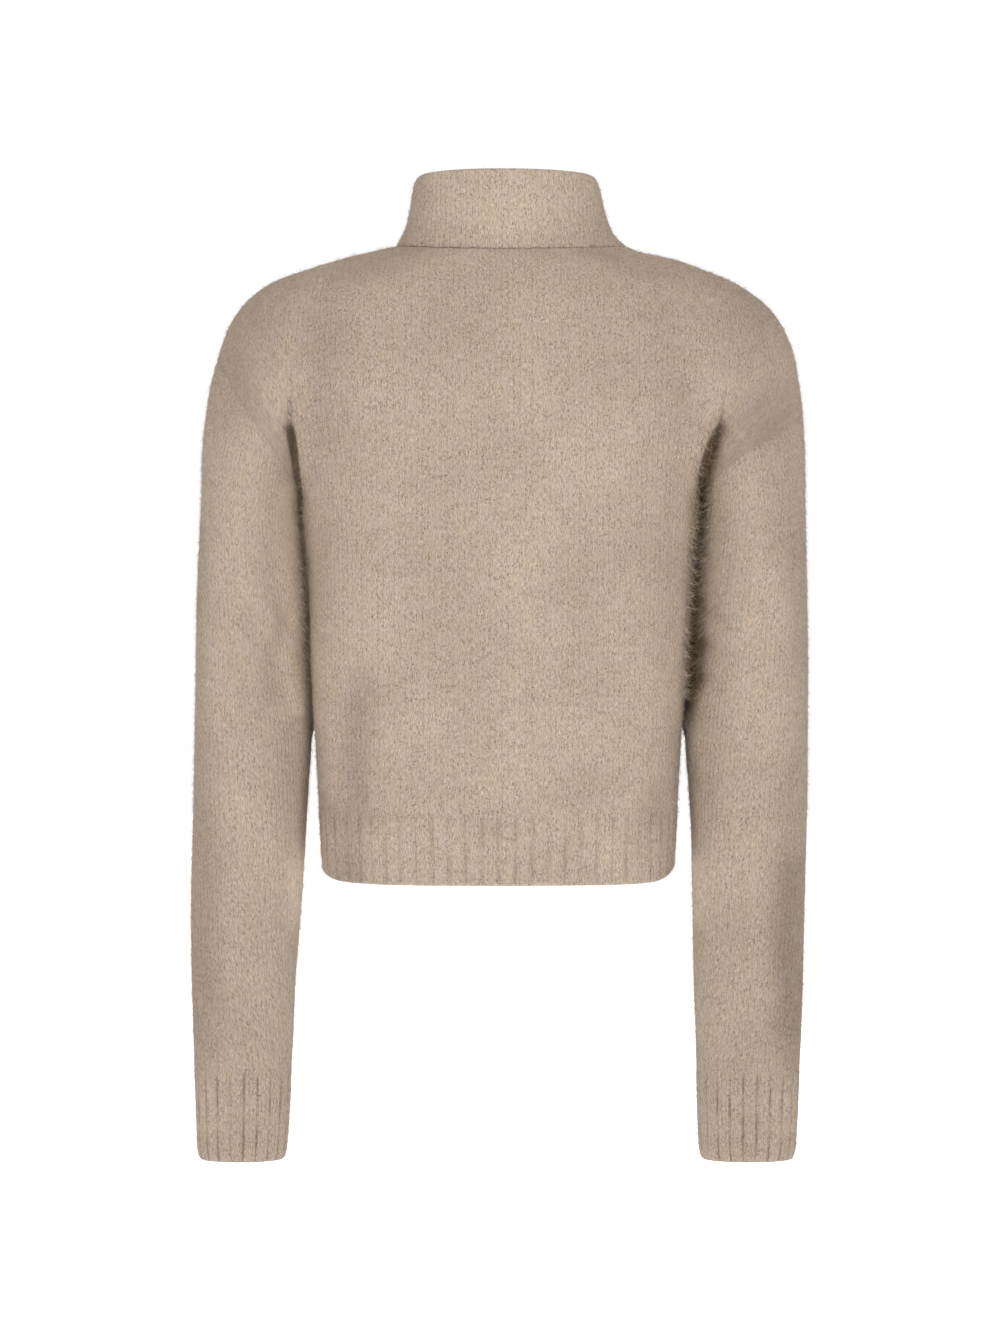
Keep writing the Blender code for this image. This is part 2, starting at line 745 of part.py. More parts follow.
def build_ribs(cloth, collection):
    """Hem and cuff ribs; gives back the two front hem grids for the zip."""
    signs = {"back": (1, 1), "left": (-1, 0), "right": (-1, 0)}
    names = {"back": "hem_back", "left": "hem_front_left", "right": "hem_front_right"}
    fronts = {}
    for half, name in names.items():
        points, raised = hem_grid(half)
        turned = facing_out(points)
        if turned is not points:
            raised = raised[::-1]
        ends = signs[half]
        if abs(turned[0][0][0]) < abs(turned[0][-1][0]):
            ends = ends[::-1]
        normals = point_normals([turned])
        wall(name, [make_patch(turned, normals, hem_side_seams(ends), raised)], cloth, collection)
        fronts[half] = (turned, normals)
    for side in SIDE_SIGN:
        points, raised = cuff_grid(side)
        turned = facing_out(points, own_axis=True)
        if turned is not points:
            raised = raised[::-1]
        normals = point_normals([turned])
        wall("cuff_" + side, [make_patch(turned, normals, first_seam, raised)], cloth, collection)
    return fronts


def centre_front(side, grids, normals, hems):
    """The knit edge beside the zip, hem to collar: its points, the column beside it, normals."""
    stretches = [
        (hems[side][0][::-1], hems[side][1]),
        (grids["body", side, "front"], normals),
        (grids["collar", side], normals),
    ]
    rows = []
    for points, known in stretches:
        for row in points:
            edge, beside = (row[0], row[1]) if row[0][1] < row[-1][1] else (row[-1], row[-2])
            rows.append((edge, beside, known[key(edge)]))
    rows.sort(key=lambda row: row[0][2])
    kept = [rows[0]]
    for row in rows[1:]:
        if row[0][2] - kept[-1][0][2] > 1.0:
            kept.append(row)
    return [np.array(list(part)) for part in zip(*kept)]


def along_front(front, z):
    """Edge point, point beside it and normal of the centre front at a height."""
    edge, beside, normal = front
    heights = edge[:, 2]
    return [np.array([np.interp(z, heights, part[:, i]) for i in range(3)]) for part in (edge, beside, normal)]


def tape_point(front, z, x, depth):
    """A point behind the knit edge: x from the middle, depth in from the knit's outer face."""
    edge, beside, normal = along_front(front, z)
    side = math.copysign(1, edge[0])
    t = (x - abs(edge[0])) / (abs(beside[0]) - abs(edge[0]))
    line = edge + (beside - edge) * t
    inward = np.array([0.0, normal[1], normal[2]])
    inward = -inward / np.linalg.norm(inward)
    return np.array([side * x, line[1], line[2]]) + inward * depth


def tape_inner_edge(z):
    """The tape's edge nearest the middle: clear of the box at the hem and of the slider's post."""
    if z < HEM + BOX_SIZE[2] + 2:
        return TAPE_INNER_AT_BOX
    if z > slider_height() + 1.5:
        return TAPE_INNER_AT_TOP
    return TAPE_INNER


def slider_height():
    return COLLAR_TOP_FRONT - SLIDER_BELOW_TOP


def build_tapes(fronts, tape, collection):
    for side, front in fronts.items():
        heights = [z for z in front[0][:, 2]]
        heights[0] += 1.0
        heights[-1] -= 1.0
        box_top = HEM + BOX_SIZE[2] + 2
        heights += [box_top - 0.5, box_top + 0.5, slider_height() + 0.5, slider_height() + 2.5]
        points = []
        backs = []
        for z in sorted(heights):
            xs = [tape_inner_edge(z), KNIT_EDGE, TAPE_OUTER]
            near = WALL + TAPE_CLEARANCE
            points.append([tape_point(front, z, x, near) for x in xs])
            backs.append([tape_point(front, z, x, near + TAPE_THICKNESS) for x in xs])
        points, backs = np.array(points), np.array(backs)
        if SIDE_SIGN[side] > 0:
            wall("zip_tape_" + side, [(points, backs)], tape, collection)
        else:
            wall("zip_tape_" + side, [(points[:, ::-1], backs[:, ::-1])], tape, collection)


def slab(name, outline, start, end, plane="front"):
    """A flat outline given a thickness. front outlines are x and z, side outlines are y and z."""
    mesh = bpy.data.meshes.new(name)
    shape = bmesh.new()
    if plane == "front":
        corners = [shape.verts.new((x, start, z)) for x, z in outline]
        offset = Vector((0, end - start, 0))
    else:
        corners = [shape.verts.new((start, y, z)) for y, z in outline]
        offset = Vector((end - start, 0, 0))
    face = shape.faces.new(corners)
    grown = bmesh.ops.extrude_face_region(shape, geom=[face])
    moved = [item for item in grown["geom"] if isinstance(item, bmesh.types.BMVert)]
    bmesh.ops.translate(shape, verts=moved, vec=offset)
    bmesh.ops.recalc_face_normals(shape, faces=shape.faces)
    bmesh.ops.scale(shape, vec=(MM, MM, MM), verts=shape.verts)
    shape.to_mesh(mesh)
    shape.free()
    return mesh


def rounded_outline(width_bottom, width_top, low, high, corner):
    """A tapered plate outline with cut corners, anticlockwise."""
    bottom = width_bottom / 2
    top = width_top / 2
    return [
        (-bottom + corner, low), (bottom - corner, low), (bottom, low + corner), (top, high - corner),
        (top - corner, high), (-top + corner, high), (-top, high - corner), (-bottom, low + corner),
    ]


def box_outline(low_a, high_a, low_b, high_b):
    return [(low_a, low_b), (high_a, low_b), (high_a, high_b), (low_a, high_b)]


def arch_outline(base, inner, outer, foot, steps=8):
    """Half a ring in y and z that stands on a plate and faces the wearer's front."""
    outer_arc = []
    inner_arc = []
    for i in range(steps + 1):
        turn = math.pi * i / steps
        outer_arc.append((base - outer * math.sin(turn), outer * math.cos(turn)))
        inner_arc.append((base - inner * math.sin(turn), inner * math.cos(turn)))
    feet = [(base + foot, -outer), (base + foot, -inner)]
    last = [(base + foot, inner), (base + foot, outer)]
    return outer_arc + feet + inner_arc[::-1] + last


def joined(name, meshes, material, collection, cut=()):
    """One solid from overlapping meshes by exact unions, less the meshes in cut."""
    cutters = bpy.data.collections.get("cutters")
    body = part_object(name, meshes[0], material, collection)
    for mode, group in (("UNION", meshes[1:]), ("DIFFERENCE", cut)):
        for i, mesh in enumerate(group):
            tool = bpy.data.objects.new(f"{name}_{mode.lower()}_{i}", mesh)
            tool.hide_render = True
            tool.display_type = "WIRE"
            tool.parent = body
            cutters.objects.link(tool)
            step = body.modifiers.new(f"{mode.lower()} {i}", "BOOLEAN")
            step.operation = mode
            step.solver = "EXACT"
            step.object = tool
    return body


def build_hardware(fronts, metal, collection):
    """The slider with its bail, the pull tab that swings on it, and the box at the hem."""
    middle = WALL + TAPE_CLEARANCE + TAPE_THICKNESS / 2
    place = tape_point(fronts["left"], slider_height(), TAPE_INNER, middle)
    above = tape_point(fronts["left"], slider_height() + 8, TAPE_INNER, middle)
    lean = math.atan2(above[1] - place[1], above[2] - place[2])
    anchor = bpy.data.objects.new("zip_frame", None)
    anchor.location = (0, place[1] * MM, place[2] * MM)
    anchor.rotation_euler = (-lean, 0, 0)
    collection.objects.link(anchor)

    width, length = SLIDER_SIZE
    gap = SLIDER_GAP
    outer_face = gap + SLIDER_PLATE
    outline = rounded_outline(width * 0.78, width, -length / 2, length / 2, 1.4)
    post_low = length / 2 - 0.6 - SLIDER_POST[1]
    meshes = [slab("plate_front", outline, -outer_face, -gap)]
    meshes.append(slab("plate_back", outline, gap, outer_face))
    post = box_outline(-SLIDER_POST[0] / 2, SLIDER_POST[0] / 2, post_low, post_low + SLIDER_POST[1])
    meshes.append(slab("post", post, -gap - 0.4, gap + 0.4))
    foot = 0.5
    bail = arch_outline(-outer_face, BAIL_INNER, BAIL_OUTER, foot)
    meshes.append(slab("bail", bail, -BAIL_WIDTH / 2, BAIL_WIDTH / 2, plane="side"))
    slider = joined("zip_slider", meshes, metal, collection)
    slider.parent = anchor

    tab_width, tab_length, tab_thick = TAB_SIZE
    top = tab_thick / 2
    plate = rounded_outline(tab_width * 0.8, tab_width, top - tab_length, top, 1.2)
    body = slab("tab_plate", plate, -tab_thick / 2, tab_thick / 2)
    hole = box_outline(-TAB_HOLE[0] / 2, TAB_HOLE[0] / 2, -TAB_HOLE[1], -top)
    cut = slab("tab_hole", hole, -tab_thick, tab_thick)
    tab = joined("zip_pull_tab", [body], metal, collection, cut=[cut])
    tab.parent = anchor
    tab.location = (0, (-outer_face - TAB_ABOVE_PLATE) * MM, 0)
    rounding = tab.modifiers.new("rounded edges", "BEVEL")
    rounding.width = EDGE_ROUNDING * MM
    rounding.segments = 2
    rounding.limit_method = "ANGLE"

    box_width, box_thick, box_height = BOX_SIZE
    low = HEM + 1.5
    foot_point = tape_point(fronts["left"], low + box_height / 2, TAPE_INNER, middle)
    outline = box_outline(-box_width / 2, box_width / 2, -box_height / 2, box_height / 2)
    box = part_object("zip_box", slab("zip_box", outline, -box_thick / 2, box_thick / 2), metal, collection)
    box.location = (0, foot_point[1] * MM, foot_point[2] * MM)
    rounding = box.modifiers.new("rounded edges", "BEVEL")
    rounding.width = 0.6 * MM
    rounding.segments = 2


def main():
    clear_scene()
    collection = bpy.data.collections.new("zip_up_cardigan")
    bpy.context.scene.collection.children.link(collection)
    cutters = bpy.data.collections.new("cutters")
    bpy.context.scene.collection.children.link(cutters)
    cloth = principled("brushed_knit", OATMEAL, 0.95, 0.0)
    rib_cloth = principled("brushed_rib", OATMEAL_RIB, 0.95, 0.0)
    tape = principled("woven_tape", TAPE_BEIGE, 0.85, 0.0)
    metal = principled("nickel_plate", NICKEL, 0.3, 1.0)
    grids = cloth_grids()
    normals = point_normals(grids.values())
    crease_normals(grids, normals)
    build_panels(grids, normals, cloth, collection)
    hems = build_ribs(rib_cloth, collection)
    fronts = {side: centre_front(side, grids, normals, hems) for side in SIDE_SIGN}
    build_tapes(fronts, tape, collection)
    build_hardware(fronts, metal, collection)


main()
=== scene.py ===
# %% [markdown]
# # A cropped zip-up cardigan in brushed oatmeal knit
# The cardigan is shown from the back, filled out as if worn. Blender builds each knitted panel as a
# thin shell on the form of its CAD solid, adds folds, ribs, seams and a brushed pile of loose
# fibres, and dresses the zip at the front with tapes and metal teeth.

# %% Setup
import math

import bpy
import numpy as np
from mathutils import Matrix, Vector


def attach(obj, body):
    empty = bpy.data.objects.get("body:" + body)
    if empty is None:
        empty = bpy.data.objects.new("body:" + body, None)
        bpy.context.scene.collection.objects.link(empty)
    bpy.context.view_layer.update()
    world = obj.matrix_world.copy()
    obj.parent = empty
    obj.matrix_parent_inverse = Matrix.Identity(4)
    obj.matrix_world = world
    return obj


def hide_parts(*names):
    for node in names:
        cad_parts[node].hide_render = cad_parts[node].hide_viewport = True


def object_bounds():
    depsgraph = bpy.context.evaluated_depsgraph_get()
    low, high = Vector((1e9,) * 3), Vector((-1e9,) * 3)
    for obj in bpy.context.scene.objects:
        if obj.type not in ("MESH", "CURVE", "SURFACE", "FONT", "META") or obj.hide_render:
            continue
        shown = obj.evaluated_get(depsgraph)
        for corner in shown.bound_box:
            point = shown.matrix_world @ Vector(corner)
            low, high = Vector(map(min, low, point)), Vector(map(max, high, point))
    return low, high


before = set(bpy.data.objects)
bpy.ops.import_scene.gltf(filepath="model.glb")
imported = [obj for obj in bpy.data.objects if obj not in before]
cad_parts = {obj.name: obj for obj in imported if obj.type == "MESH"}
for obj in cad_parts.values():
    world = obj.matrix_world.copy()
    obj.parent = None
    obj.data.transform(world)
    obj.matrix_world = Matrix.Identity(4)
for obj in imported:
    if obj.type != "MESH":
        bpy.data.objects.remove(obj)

CAD_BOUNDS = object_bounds()
MM = 0.001
SIDE_SIGN = {"left": 1.0, "right": -1.0}
SCENE = bpy.context.scene
random = np.random.default_rng(7)
print("CAD bounds", CAD_BOUNDS)


# %% [markdown]
# ## The form of the cloth
# A real cardigan is knitted flat and takes its form from the body inside it. It could be sculpted or
# simulated, but a form worked out from tables of widths and depths, read at any height, keeps the
# outline exact: rings over the shoulders that pinch under the arms into a body tube and two sleeve
# tubes. Lengths are millimetres, heights are measured from the neck point.

# %% Heights and spreads
UNDERARM = -200.0
PINCH_TOP = -104.0
BODY_RIB_TOP = -446.0
HEM = -506.0
SLEEVE_RIB_TOP = -656.0
CUFF_END = -733.0
ARMHOLE_TOP = {"left": -92.0, "right": -136.0}
PINCH_SHARE = {"left": 0.715, "right": 0.75}
ARM_BLEND_TOP = -70.0
UNDERARM_OPENING = 48.0
PINCH_SPREAD = 0.16
PINCH_SPREAD_ABOVE = 0.30
PINCH_SOFT_TOP = -115.0
BEAR_IN = 13.0
BEAR_IN_X = 153.0
BEAR_IN_WIDTH = 30.0
BEAR_IN_LEVELS = (-398.0, -366.0, -224.0, -200.0)
BEAR_IN_BACK = 14.0
BEAR_IN_FRONT = -38.0
KNIT_EDGE = 6.0
KNIT_EDGE_SPREAD = 1.6
KNIT_EDGE_SPREAD_FROM = -45.0
HEM_SIDE_LIFT = 10.0
COLLAR_TOP_BACK = 55.0
COLLAR_TOP_FRONT = 4.0
COLLAR_LEVEL_ARC = math.radians(60)
COLLAR_SQUARING = 0.1
SLEEVE_POWER = 2.15
ARMHOLE_ROUNDNESS = 1.4
# How sharply the dip at the neck ends towards the shoulders, behind and in front
DIP_POWER = (1.4, 2.0)
# How the columns crowd towards the pinch, on its own turn, on the body and on the arm
PINCH_TURN_POWER = 1.08
BODY_CROWDING = 1.6
ARM_CROWDING = 1.7
print("garment from", CUFF_END, "to", COLLAR_TOP_BACK, "mm")


# %% Tables of the form
def table(columns, rows):
    """A table as one array for each named column, its rows sorted by the first column."""
    return dict(zip(columns.split(), np.array(sorted(rows), float).T))


# Rings from the neck point over the shoulders to the underarm. left and right are half widths,
# back and front are half depths, back_z and front_z are the heights in the middle of each.
YOKE = table(
    "level left right back front back_z front_z power",
    [
        (0, 83.2, 101.6, 70, 76, -8, -60, 2.0),
        (-4, 101.6, 110.4, 73, 78, -12, -63, 2.0),
        (-10.4, 127, 138.4, 77, 81, -18, -69, 2.02),
        (-19, 155, 163, 82, 85, -26, -76, 2.05),
        (-30.4, 184.8, 189.6, 88, 90, -37, -86, 2.1),
        (-50.4, 208, 216, 95, 97, -55, -100, 2.15),
        (-70.4, 219.2, 228.8, 100, 103, -73, -113, 2.2),
        (-90.4, 224.8, 235.2, 104, 108, -92, -125, 2.2),
        (-110.4, 228.8, 237.6, 107, 112, -111, -138, 2.2),
        (-130.4, 231.2, 240.0, 109, 116, -131, -152, 2.2),
        (-150.4, 233.6, 240.8, 109.8, 118.6, -151, -166, 2.24),
        (-170.4, 236.0, 242.4, 110, 119.8, -171, -180, 2.3),
        (-200, 238.2, 243.6, 110, 120, -200, -200, 2.4),
    ],
)

# The body tube below the underarm
BODY = table(
    "level half shift back front power",
    [
        (-200, 157.8, 0.0, 110, 120, 2.4),
        (-222, 156.0, 0.0, 109.8, 119.9, 2.4),
        (-250, 153.9, 0.0, 109, 119.3, 2.4),
        (-290, 151.6, 0.4, 107, 118, 2.4),
        (-338, 149.8, 1.2, 104.6, 116, 2.35),
        (-394, 145.8, 1.2, 102, 113.5, 2.35),
        (-430, 143.8, 1.2, 101, 112, 2.3),
        (-470, 142.0, 1.2, 100, 110.5, 2.3),
        (-506, 140.2, 1.2, 99, 109, 2.3),
    ],
)

# The sleeve tubes: edges away from and next to the body, half depth, and how far they hang forward
SLEEVE = table(
    "level outer_left inner_left outer_right inner_right depth forward",
    [
        (-200, 238.2, 161.4, 243.6, 161.8, 74, 0),
        (-242, 240.4, 158.6, 244.6, 159.4, 69, 1),
        (-290, 242.4, 156.2, 245.6, 156.0, 64, 2),
        (-338, 243.3, 155.2, 246.4, 153.2, 60, 4),
        (-394, 244.6, 151.4, 246.4, 148.8, 56, 7),
        (-430, 245.4, 153.6, 246.4, 151.2, 53.5, 9),
        (-470, 246.4, 156.0, 245.8, 153.6, 51, 12),
        (-510, 247.8, 158.4, 244.8, 154.4, 48.5, 14),
        (-550, 248.2, 161.6, 244.2, 155.2, 46, 17),
        (-590, 247.8, 164.8, 243.6, 156.0, 43, 20),
        (-630, 246.8, 166.4, 242.4, 157.6, 39, 22),
        (-656, 246.2, 168.0, 241.3, 158.2, 35.5, 24),
        (-690, 245.0, 169.6, 240.0, 159.2, 32.5, 26),
        (-720, 244.2, 171.8, 238.6, 160.4, 31.5, 28),
        (-733, 243.0, 173.4, 237.0, 162.0, 31, 28.5),
    ],
)

# The collar from the neck seam (rise 0) to its top edge (rise 1)
COLLAR = table(
    "rise left right back front",
    [
        (0.0, 83.2, 101.6, 70, 76),
        (0.12, 79.8, 94.0, 69.3, 74.8),
        (0.3, 75.6, 88.4, 68.5, 72.5),
        (0.6, 72.0, 83.4, 67.4, 69.5),
        (0.85, 70.2, 80.8, 66.6, 67.2),
        (1.0, 68.6, 78.6, 66, 66),
    ],
)
print("yoke rings", len(YOKE["level"]), "sleeve rings", len(SLEEVE["level"]))


# %% [markdown]
# ## Reading the form
# Each function takes whole grids of positions at once, which numpy works out quickly. The level is a
# height below the neck point; the turn goes round the garment from 0 in the middle of the back to
# 180 degrees in the middle of the front.

# %% Curves through the tables
def read(data, column, level):
    """A table column at any level, on a smooth curve through its rows that adds no bumps."""
    x = next(iter(data.values()))
    y = data[column]
    run = np.diff(x)
    slope = np.diff(y) / run
    before, after = slope[:-1], slope[1:]
    rising = before * after > 0
    middle = np.where(rising, 2 * before * after / np.where(rising, before + after, 1), 0)
    tangent = np.concatenate([slope[:1], middle, slope[-1:]])
    level = np.clip(level, x[0], x[-1])
    i = np.clip(np.searchsorted(x, level, side="right") - 1, 0, len(run) - 1)
    t = (level - x[i]) / run[i]
    rise = y[i] * (1 + 2 * t) * (1 - t) ** 2 + y[i + 1] * t * t * (3 - 2 * t)
    return rise + run[i] * (tangent[i] * t * (1 - t) ** 2 - tangent[i + 1] * t * t * (1 - t))


def smoothstep(low, high, value):
    t = np.clip((value - low) / (high - low), 0, 1)
    return t * t * (3 - 2 * t)


def signed_power(value, power):
    return np.sign(value) * np.abs(value) ** power


def oval(half_x, half_y, power, turn):
    """A point of a rounded-square oval. turn is 0 in the middle of the back."""
    return half_x * signed_power(np.sin(turn), 2 / power), half_y * signed_power(np.cos(turn), 2 / power)


def by_half(data, level, turn):
    """The half depth at a turn: the back's column behind the side line, the front's before it."""
    return np.where(turn <= math.pi / 2, read(data, "back", level), read(data, "front", level))


print("collar width at the top", read(COLLAR, "left", 1.0) + read(COLLAR, "right", 1.0), "mm")


# %% Shoulders, body tube and sleeve tube
def pinch_turn(side):
    return math.asin(PINCH_SHARE[side] ** PINCH_TURN_POWER)


def yoke_turn(side, share):
    """The turn of a body column; share is 0 in the middle and 1 at the pinch beside the arm."""
    return pinch_turn(side) * (1 - (1 - share) ** BODY_CROWDING)


def yoke(side, level, turn):
    """A ring over the shoulders, on one side, at a level."""
    x, y = oval(read(YOKE, side, level), by_half(YOKE, level, turn), read(YOKE, "power", level), turn)
    behind = turn <= math.pi / 2
    middle = np.where(behind, read(YOKE, "back_z", level), read(YOKE, "front_z", level))
    share = np.abs(np.cos(turn)) ** np.where(behind, *DIP_POWER)
    return x * SIDE_SIGN[side], y, level + (middle - level) * share


def meeting_x(side):
    """The distance from the middle at which arm and body meet in the underarm."""
    return (read(SLEEVE, "inner_" + side, UNDERARM) + read(BODY, "half", UNDERARM)) / 2


def opened(level):
    """How far the gap between arm and body has opened, from 0 at the underarm to 1."""
    return np.sqrt(np.clip((UNDERARM - level) / UNDERARM_OPENING, 0, 1))


def body_tube(side, level, turn):
    """The body below the underarm, which widens to meet the arm as the gap closes."""
    level = np.minimum(level, UNDERARM)
    half = read(BODY, "half", level) + read(BODY, "shift", level) * SIDE_SIGN[side]
    half = half + (meeting_x(side) - half) * (1 - opened(level))
    x, y = oval(half, by_half(BODY, level, turn), read(BODY, "power", level), turn)
    return x * SIDE_SIGN[side], y, level


def arm_tube(side, level, round_share):
    """A sleeve below the underarm; round_share starts beside the body and runs over the back."""
    level = np.minimum(level, UNDERARM)
    outer = read(SLEEVE, "outer_" + side, level)
    inner = read(SLEEVE, "inner_" + side, level)
    inner = inner + (meeting_x(side) - inner) * (1 - opened(level))
    turn = 2 * math.pi * round_share - math.pi / 2
    x, y = oval((outer - inner) / 2, read(SLEEVE, "depth", level), SLEEVE_POWER, turn)
    return ((outer + inner) / 2 + x) * SIDE_SIGN[side], y - read(SLEEVE, "forward", level), level


print("underarm is", round(float(meeting_x("left")), 1), "mm from the middle")


# %% [markdown]
# ## Where arm and body part
# Under the arm the knit folds into a crease and the sleeve hangs against the side. Each ring is
# blended, near the crease, into the two tubes below it. Lower down, sleeve and body bear in on each
# other in front of the side seam, so that no light shows between them, as in the picture.

# %% The crease and the panels' surfaces
def pinch_reach(level):
    """The share of a half ring over which the pinch acts, wider higher up."""
    return 2 * (PINCH_SPREAD + PINCH_SPREAD_ABOVE * smoothstep(UNDERARM, PINCH_SOFT_TOP, level))


def pinched(ring, tube, level, nearness):
    """A ring on its way to separate arm and body tubes, sharper near the pinch itself."""
    rise = np.clip((level - UNDERARM) / (PINCH_TOP - UNDERARM), 0, 1)
    soft = 1 - smoothstep(UNDERARM, ARM_BLEND_TOP, level)
    across = nearness * (1 - rise) + (1 - nearness) * soft
    deep = nearness * (1 - np.sqrt(rise)) + (1 - nearness) * soft
    x = ring[0] + (tube[0] - ring[0]) * across
    y = ring[1] + (tube[1] - ring[1]) * deep
    return np.stack([x, y, np.where(level <= UNDERARM, level, ring[2])], axis=-1)


def bearing_in(points):
    """Moves points of the tubes sideways where sleeve and body press on each other."""
    low, full_low, full_high, high = BEAR_IN_LEVELS
    x, y, z = np.moveaxis(points, -1, 0)
    strength = smoothstep(low, full_low, z) * (1 - smoothstep(full_high, high, z))
    front = 1 - smoothstep(BEAR_IN_FRONT, BEAR_IN_BACK, y)
    window = np.exp(-(((np.abs(x) - BEAR_IN_X) / BEAR_IN_WIDTH) ** 2))
    return np.stack([x - np.sign(x) * BEAR_IN * strength * front * window, y, z], axis=-1)


def body_surface(side, half, share, level):
    """Body panel points: share is 0 in the middle and 1 at the side, half is back or front."""
    ring_turn, tube_turn = yoke_turn(side, share), math.pi / 2 * share
    if half == "front":
        ring_turn, tube_turn = math.pi - ring_turn, math.pi - tube_turn
    nearness = smoothstep(1 - pinch_reach(level), 1, share)
    ring, tube = yoke(side, level, ring_turn), body_tube(side, level, tube_turn)
    return bearing_in(pinched(ring, tube, level, nearness))


def arm_surface(side, round_share, level):
    """Arm points: round_share runs 0..1 from the pinch over the back to the front pinch."""
    from_pinch = np.minimum(round_share, 1 - round_share) * 2
    start = pinch_turn(side)
    turn = start + (math.pi / 2 - start) * from_pinch**ARM_CROWDING
    turn = np.where(round_share > 0.5, math.pi - turn, turn)
    nearness = 1 - smoothstep(0, pinch_reach(level), from_pinch)
    ring, tube = yoke(side, level, turn), arm_tube(side, level, round_share)
    return bearing_in(pinched(ring, tube, level, nearness))


def armhole_level(side, round_share):
    """Height of the dropped armhole seam round the arm."""
    up = np.sin(math.pi * np.minimum(round_share, 1 - round_share)) ** ARMHOLE_ROUNDNESS
    return UNDERARM + (ARMHOLE_TOP[side] - UNDERARM) * up


def collar_surface(side, turn, rise):
    """The collar from the yoke's first ring up to a top edge that falls towards the front."""
    base_z = yoke(side, np.zeros_like(turn), turn)[2]
    fall = np.clip((turn - COLLAR_LEVEL_ARC) / (math.pi - COLLAR_LEVEL_ARC), 0, 1)
    top = COLLAR_TOP_BACK + (COLLAR_TOP_FRONT - COLLAR_TOP_BACK) * (1 - np.cos(math.pi * fall)) / 2
    x, y = oval(read(COLLAR, side, rise), by_half(COLLAR, rise, turn), 2 + COLLAR_SQUARING * rise, turn)
    return np.stack([x * SIDE_SIGN[side], y, base_z + (top - base_z) * rise], axis=-1)


print("armhole seam on the shoulder", {side: float(armhole_level(side, 0.5)) for side in SIDE_SIGN})


# %% [markdown]
# ## Rows and columns
# Stitches are 3 to 5 mm, so a mesh of about 3 mm carries every fold and rib, and the stitches
# themselves go into the material. Rows over the shoulder are spaced by their real distance, and the
# rows close up at edges that roll.

# %% Rows of the body
SPACING = 3.2
ROWS_BELOW = 70
LOWEST_EVEN_ROW = -214
CREASE_ROWS = [-211, -208, -205.5, -203.5, -202, -201, -200.3]


def even_steps(curve, low, high, spacing):
    """Values from low to high whose points on a curve are evenly spaced."""
    fine = np.linspace(low, high, 2001)
    points = curve(fine)
    length = np.concatenate([[0], np.cumsum(np.linalg.norm(np.diff(points, axis=0), axis=1))])
    return np.interp(np.linspace(0, length[-1], int(length[-1] / spacing) + 1), length, fine)


def shoulder_line(level):
    return np.stack([read(YOKE, "left", level), level], axis=-1)


# The rows crowd towards the underarm, where the gap closes
BELOW = np.concatenate([np.linspace(BODY_RIB_TOP, LOWEST_EVEN_ROW, ROWS_BELOW), CREASE_ROWS])
ABOVE = even_steps(shoulder_line, UNDERARM, 0.0, SPACING)
BODY_LEVELS = np.concatenate([BELOW, ABOVE])
print("rows on the body", len(BODY_LEVELS))


# %% Grids of the panels
EXTRA_COLUMN = 0.35


def front_edge(z):
    """Half the distance between the knit edges beside the zip, wider at the slider."""
    return KNIT_EDGE + KNIT_EDGE_SPREAD * smoothstep(KNIT_EDGE_SPREAD_FROM, 0, z)


def from_edge(surface, shares):
    """Shifts a front grid's shares, row by row, so that the first column lies on the knit edge."""
    near = np.linspace(0, 0.2, 81)
    started = [np.interp(front_edge(line[0][2]), np.abs(line[:, 0]), near) for line in surface(near)]
    start = np.array(started)[:, None]
    return start + (1 - start) * shares[None, :]


def edge_shares(columns):
    """Even shares from 0 to 1 with one more column close to the first, where the edge rolls."""
    even = np.linspace(0, 1, columns)
    return np.sort(np.append(even, even[1] * EXTRA_COLUMN))


def body_grid(side, half, columns=64):
    """The body's cloth from the middle to the pinch and the side seam, from the rib to the neck."""
    level = BODY_LEVELS[:, None]
    if half == "back":
        share = np.linspace(0, 1, columns)[None, :] + 0 * level
        return body_surface(side, half, share, level + 0 * share)

    def rows(near):
        return body_surface(side, half, near[None, :] + 0 * level, level + 0 * near[None, :])

    share = from_edge(rows, edge_shares(columns))
    return body_surface(side, half, share, level + 0 * share)


def lobe_grid(side, half, columns=56):
    """The body's cloth over the arm, from the armhole seam up to the neck."""
    round_share = np.linspace(0, 0.5, columns)[None, :]
    if half == "front":
        round_share = 1 - round_share
    start = armhole_level(side, round_share)
    level = start + (ABOVE[:, None] - UNDERARM) / (0 - UNDERARM) * (0 - start)
    return arm_surface(side, round_share + 0 * level, level)


def sleeve_grid(side, rows=136, columns=116):
    """A sleeve from the armhole seam to the cuff rib, its rows closer at the seam."""
    round_share = np.linspace(0, 1, columns)[None, :]
    step = np.concatenate([[0, 0.004, 0.009, 0.015], np.linspace(0.022, 1, rows)])[:, None]
    start = armhole_level(side, round_share)
    level = start + (SLEEVE_RIB_TOP - start) * step
    grid = arm_surface(side, round_share + 0 * level, level)
    grid[:, -1] = grid[:, 0]
    return grid


def collar_grid(side, columns=92):
    """One half of the collar, from the zip round to the middle of the back."""
    rise = np.concatenate([np.linspace(0, 0.95, 26), [0.972, 0.988, 1.0]])[:, None]

    def lines(near):
        return collar_surface(side, math.pi - near[None, :] + 0 * rise, rise + 0 * near[None, :])

    share = from_edge(lines, edge_shares(columns))
    start = share[:, :1]
    turn = (math.pi - start) * (1 - (share - start) / (1 - start))
    return collar_surface(side, turn, rise + 0 * turn)


print("sleeve mesh", sleeve_grid("left").shape[:2])


# %% [markdown]
# ## Ribs
# The hem and the cuffs are knitted in a rib: columns of plain stitch that stand proud of narrow
# columns of purl. They could be a bump, but seen from a step away they change the edge's outline, so
# here they are shape. The columns of the mesh follow each rib, 12 to a rib.

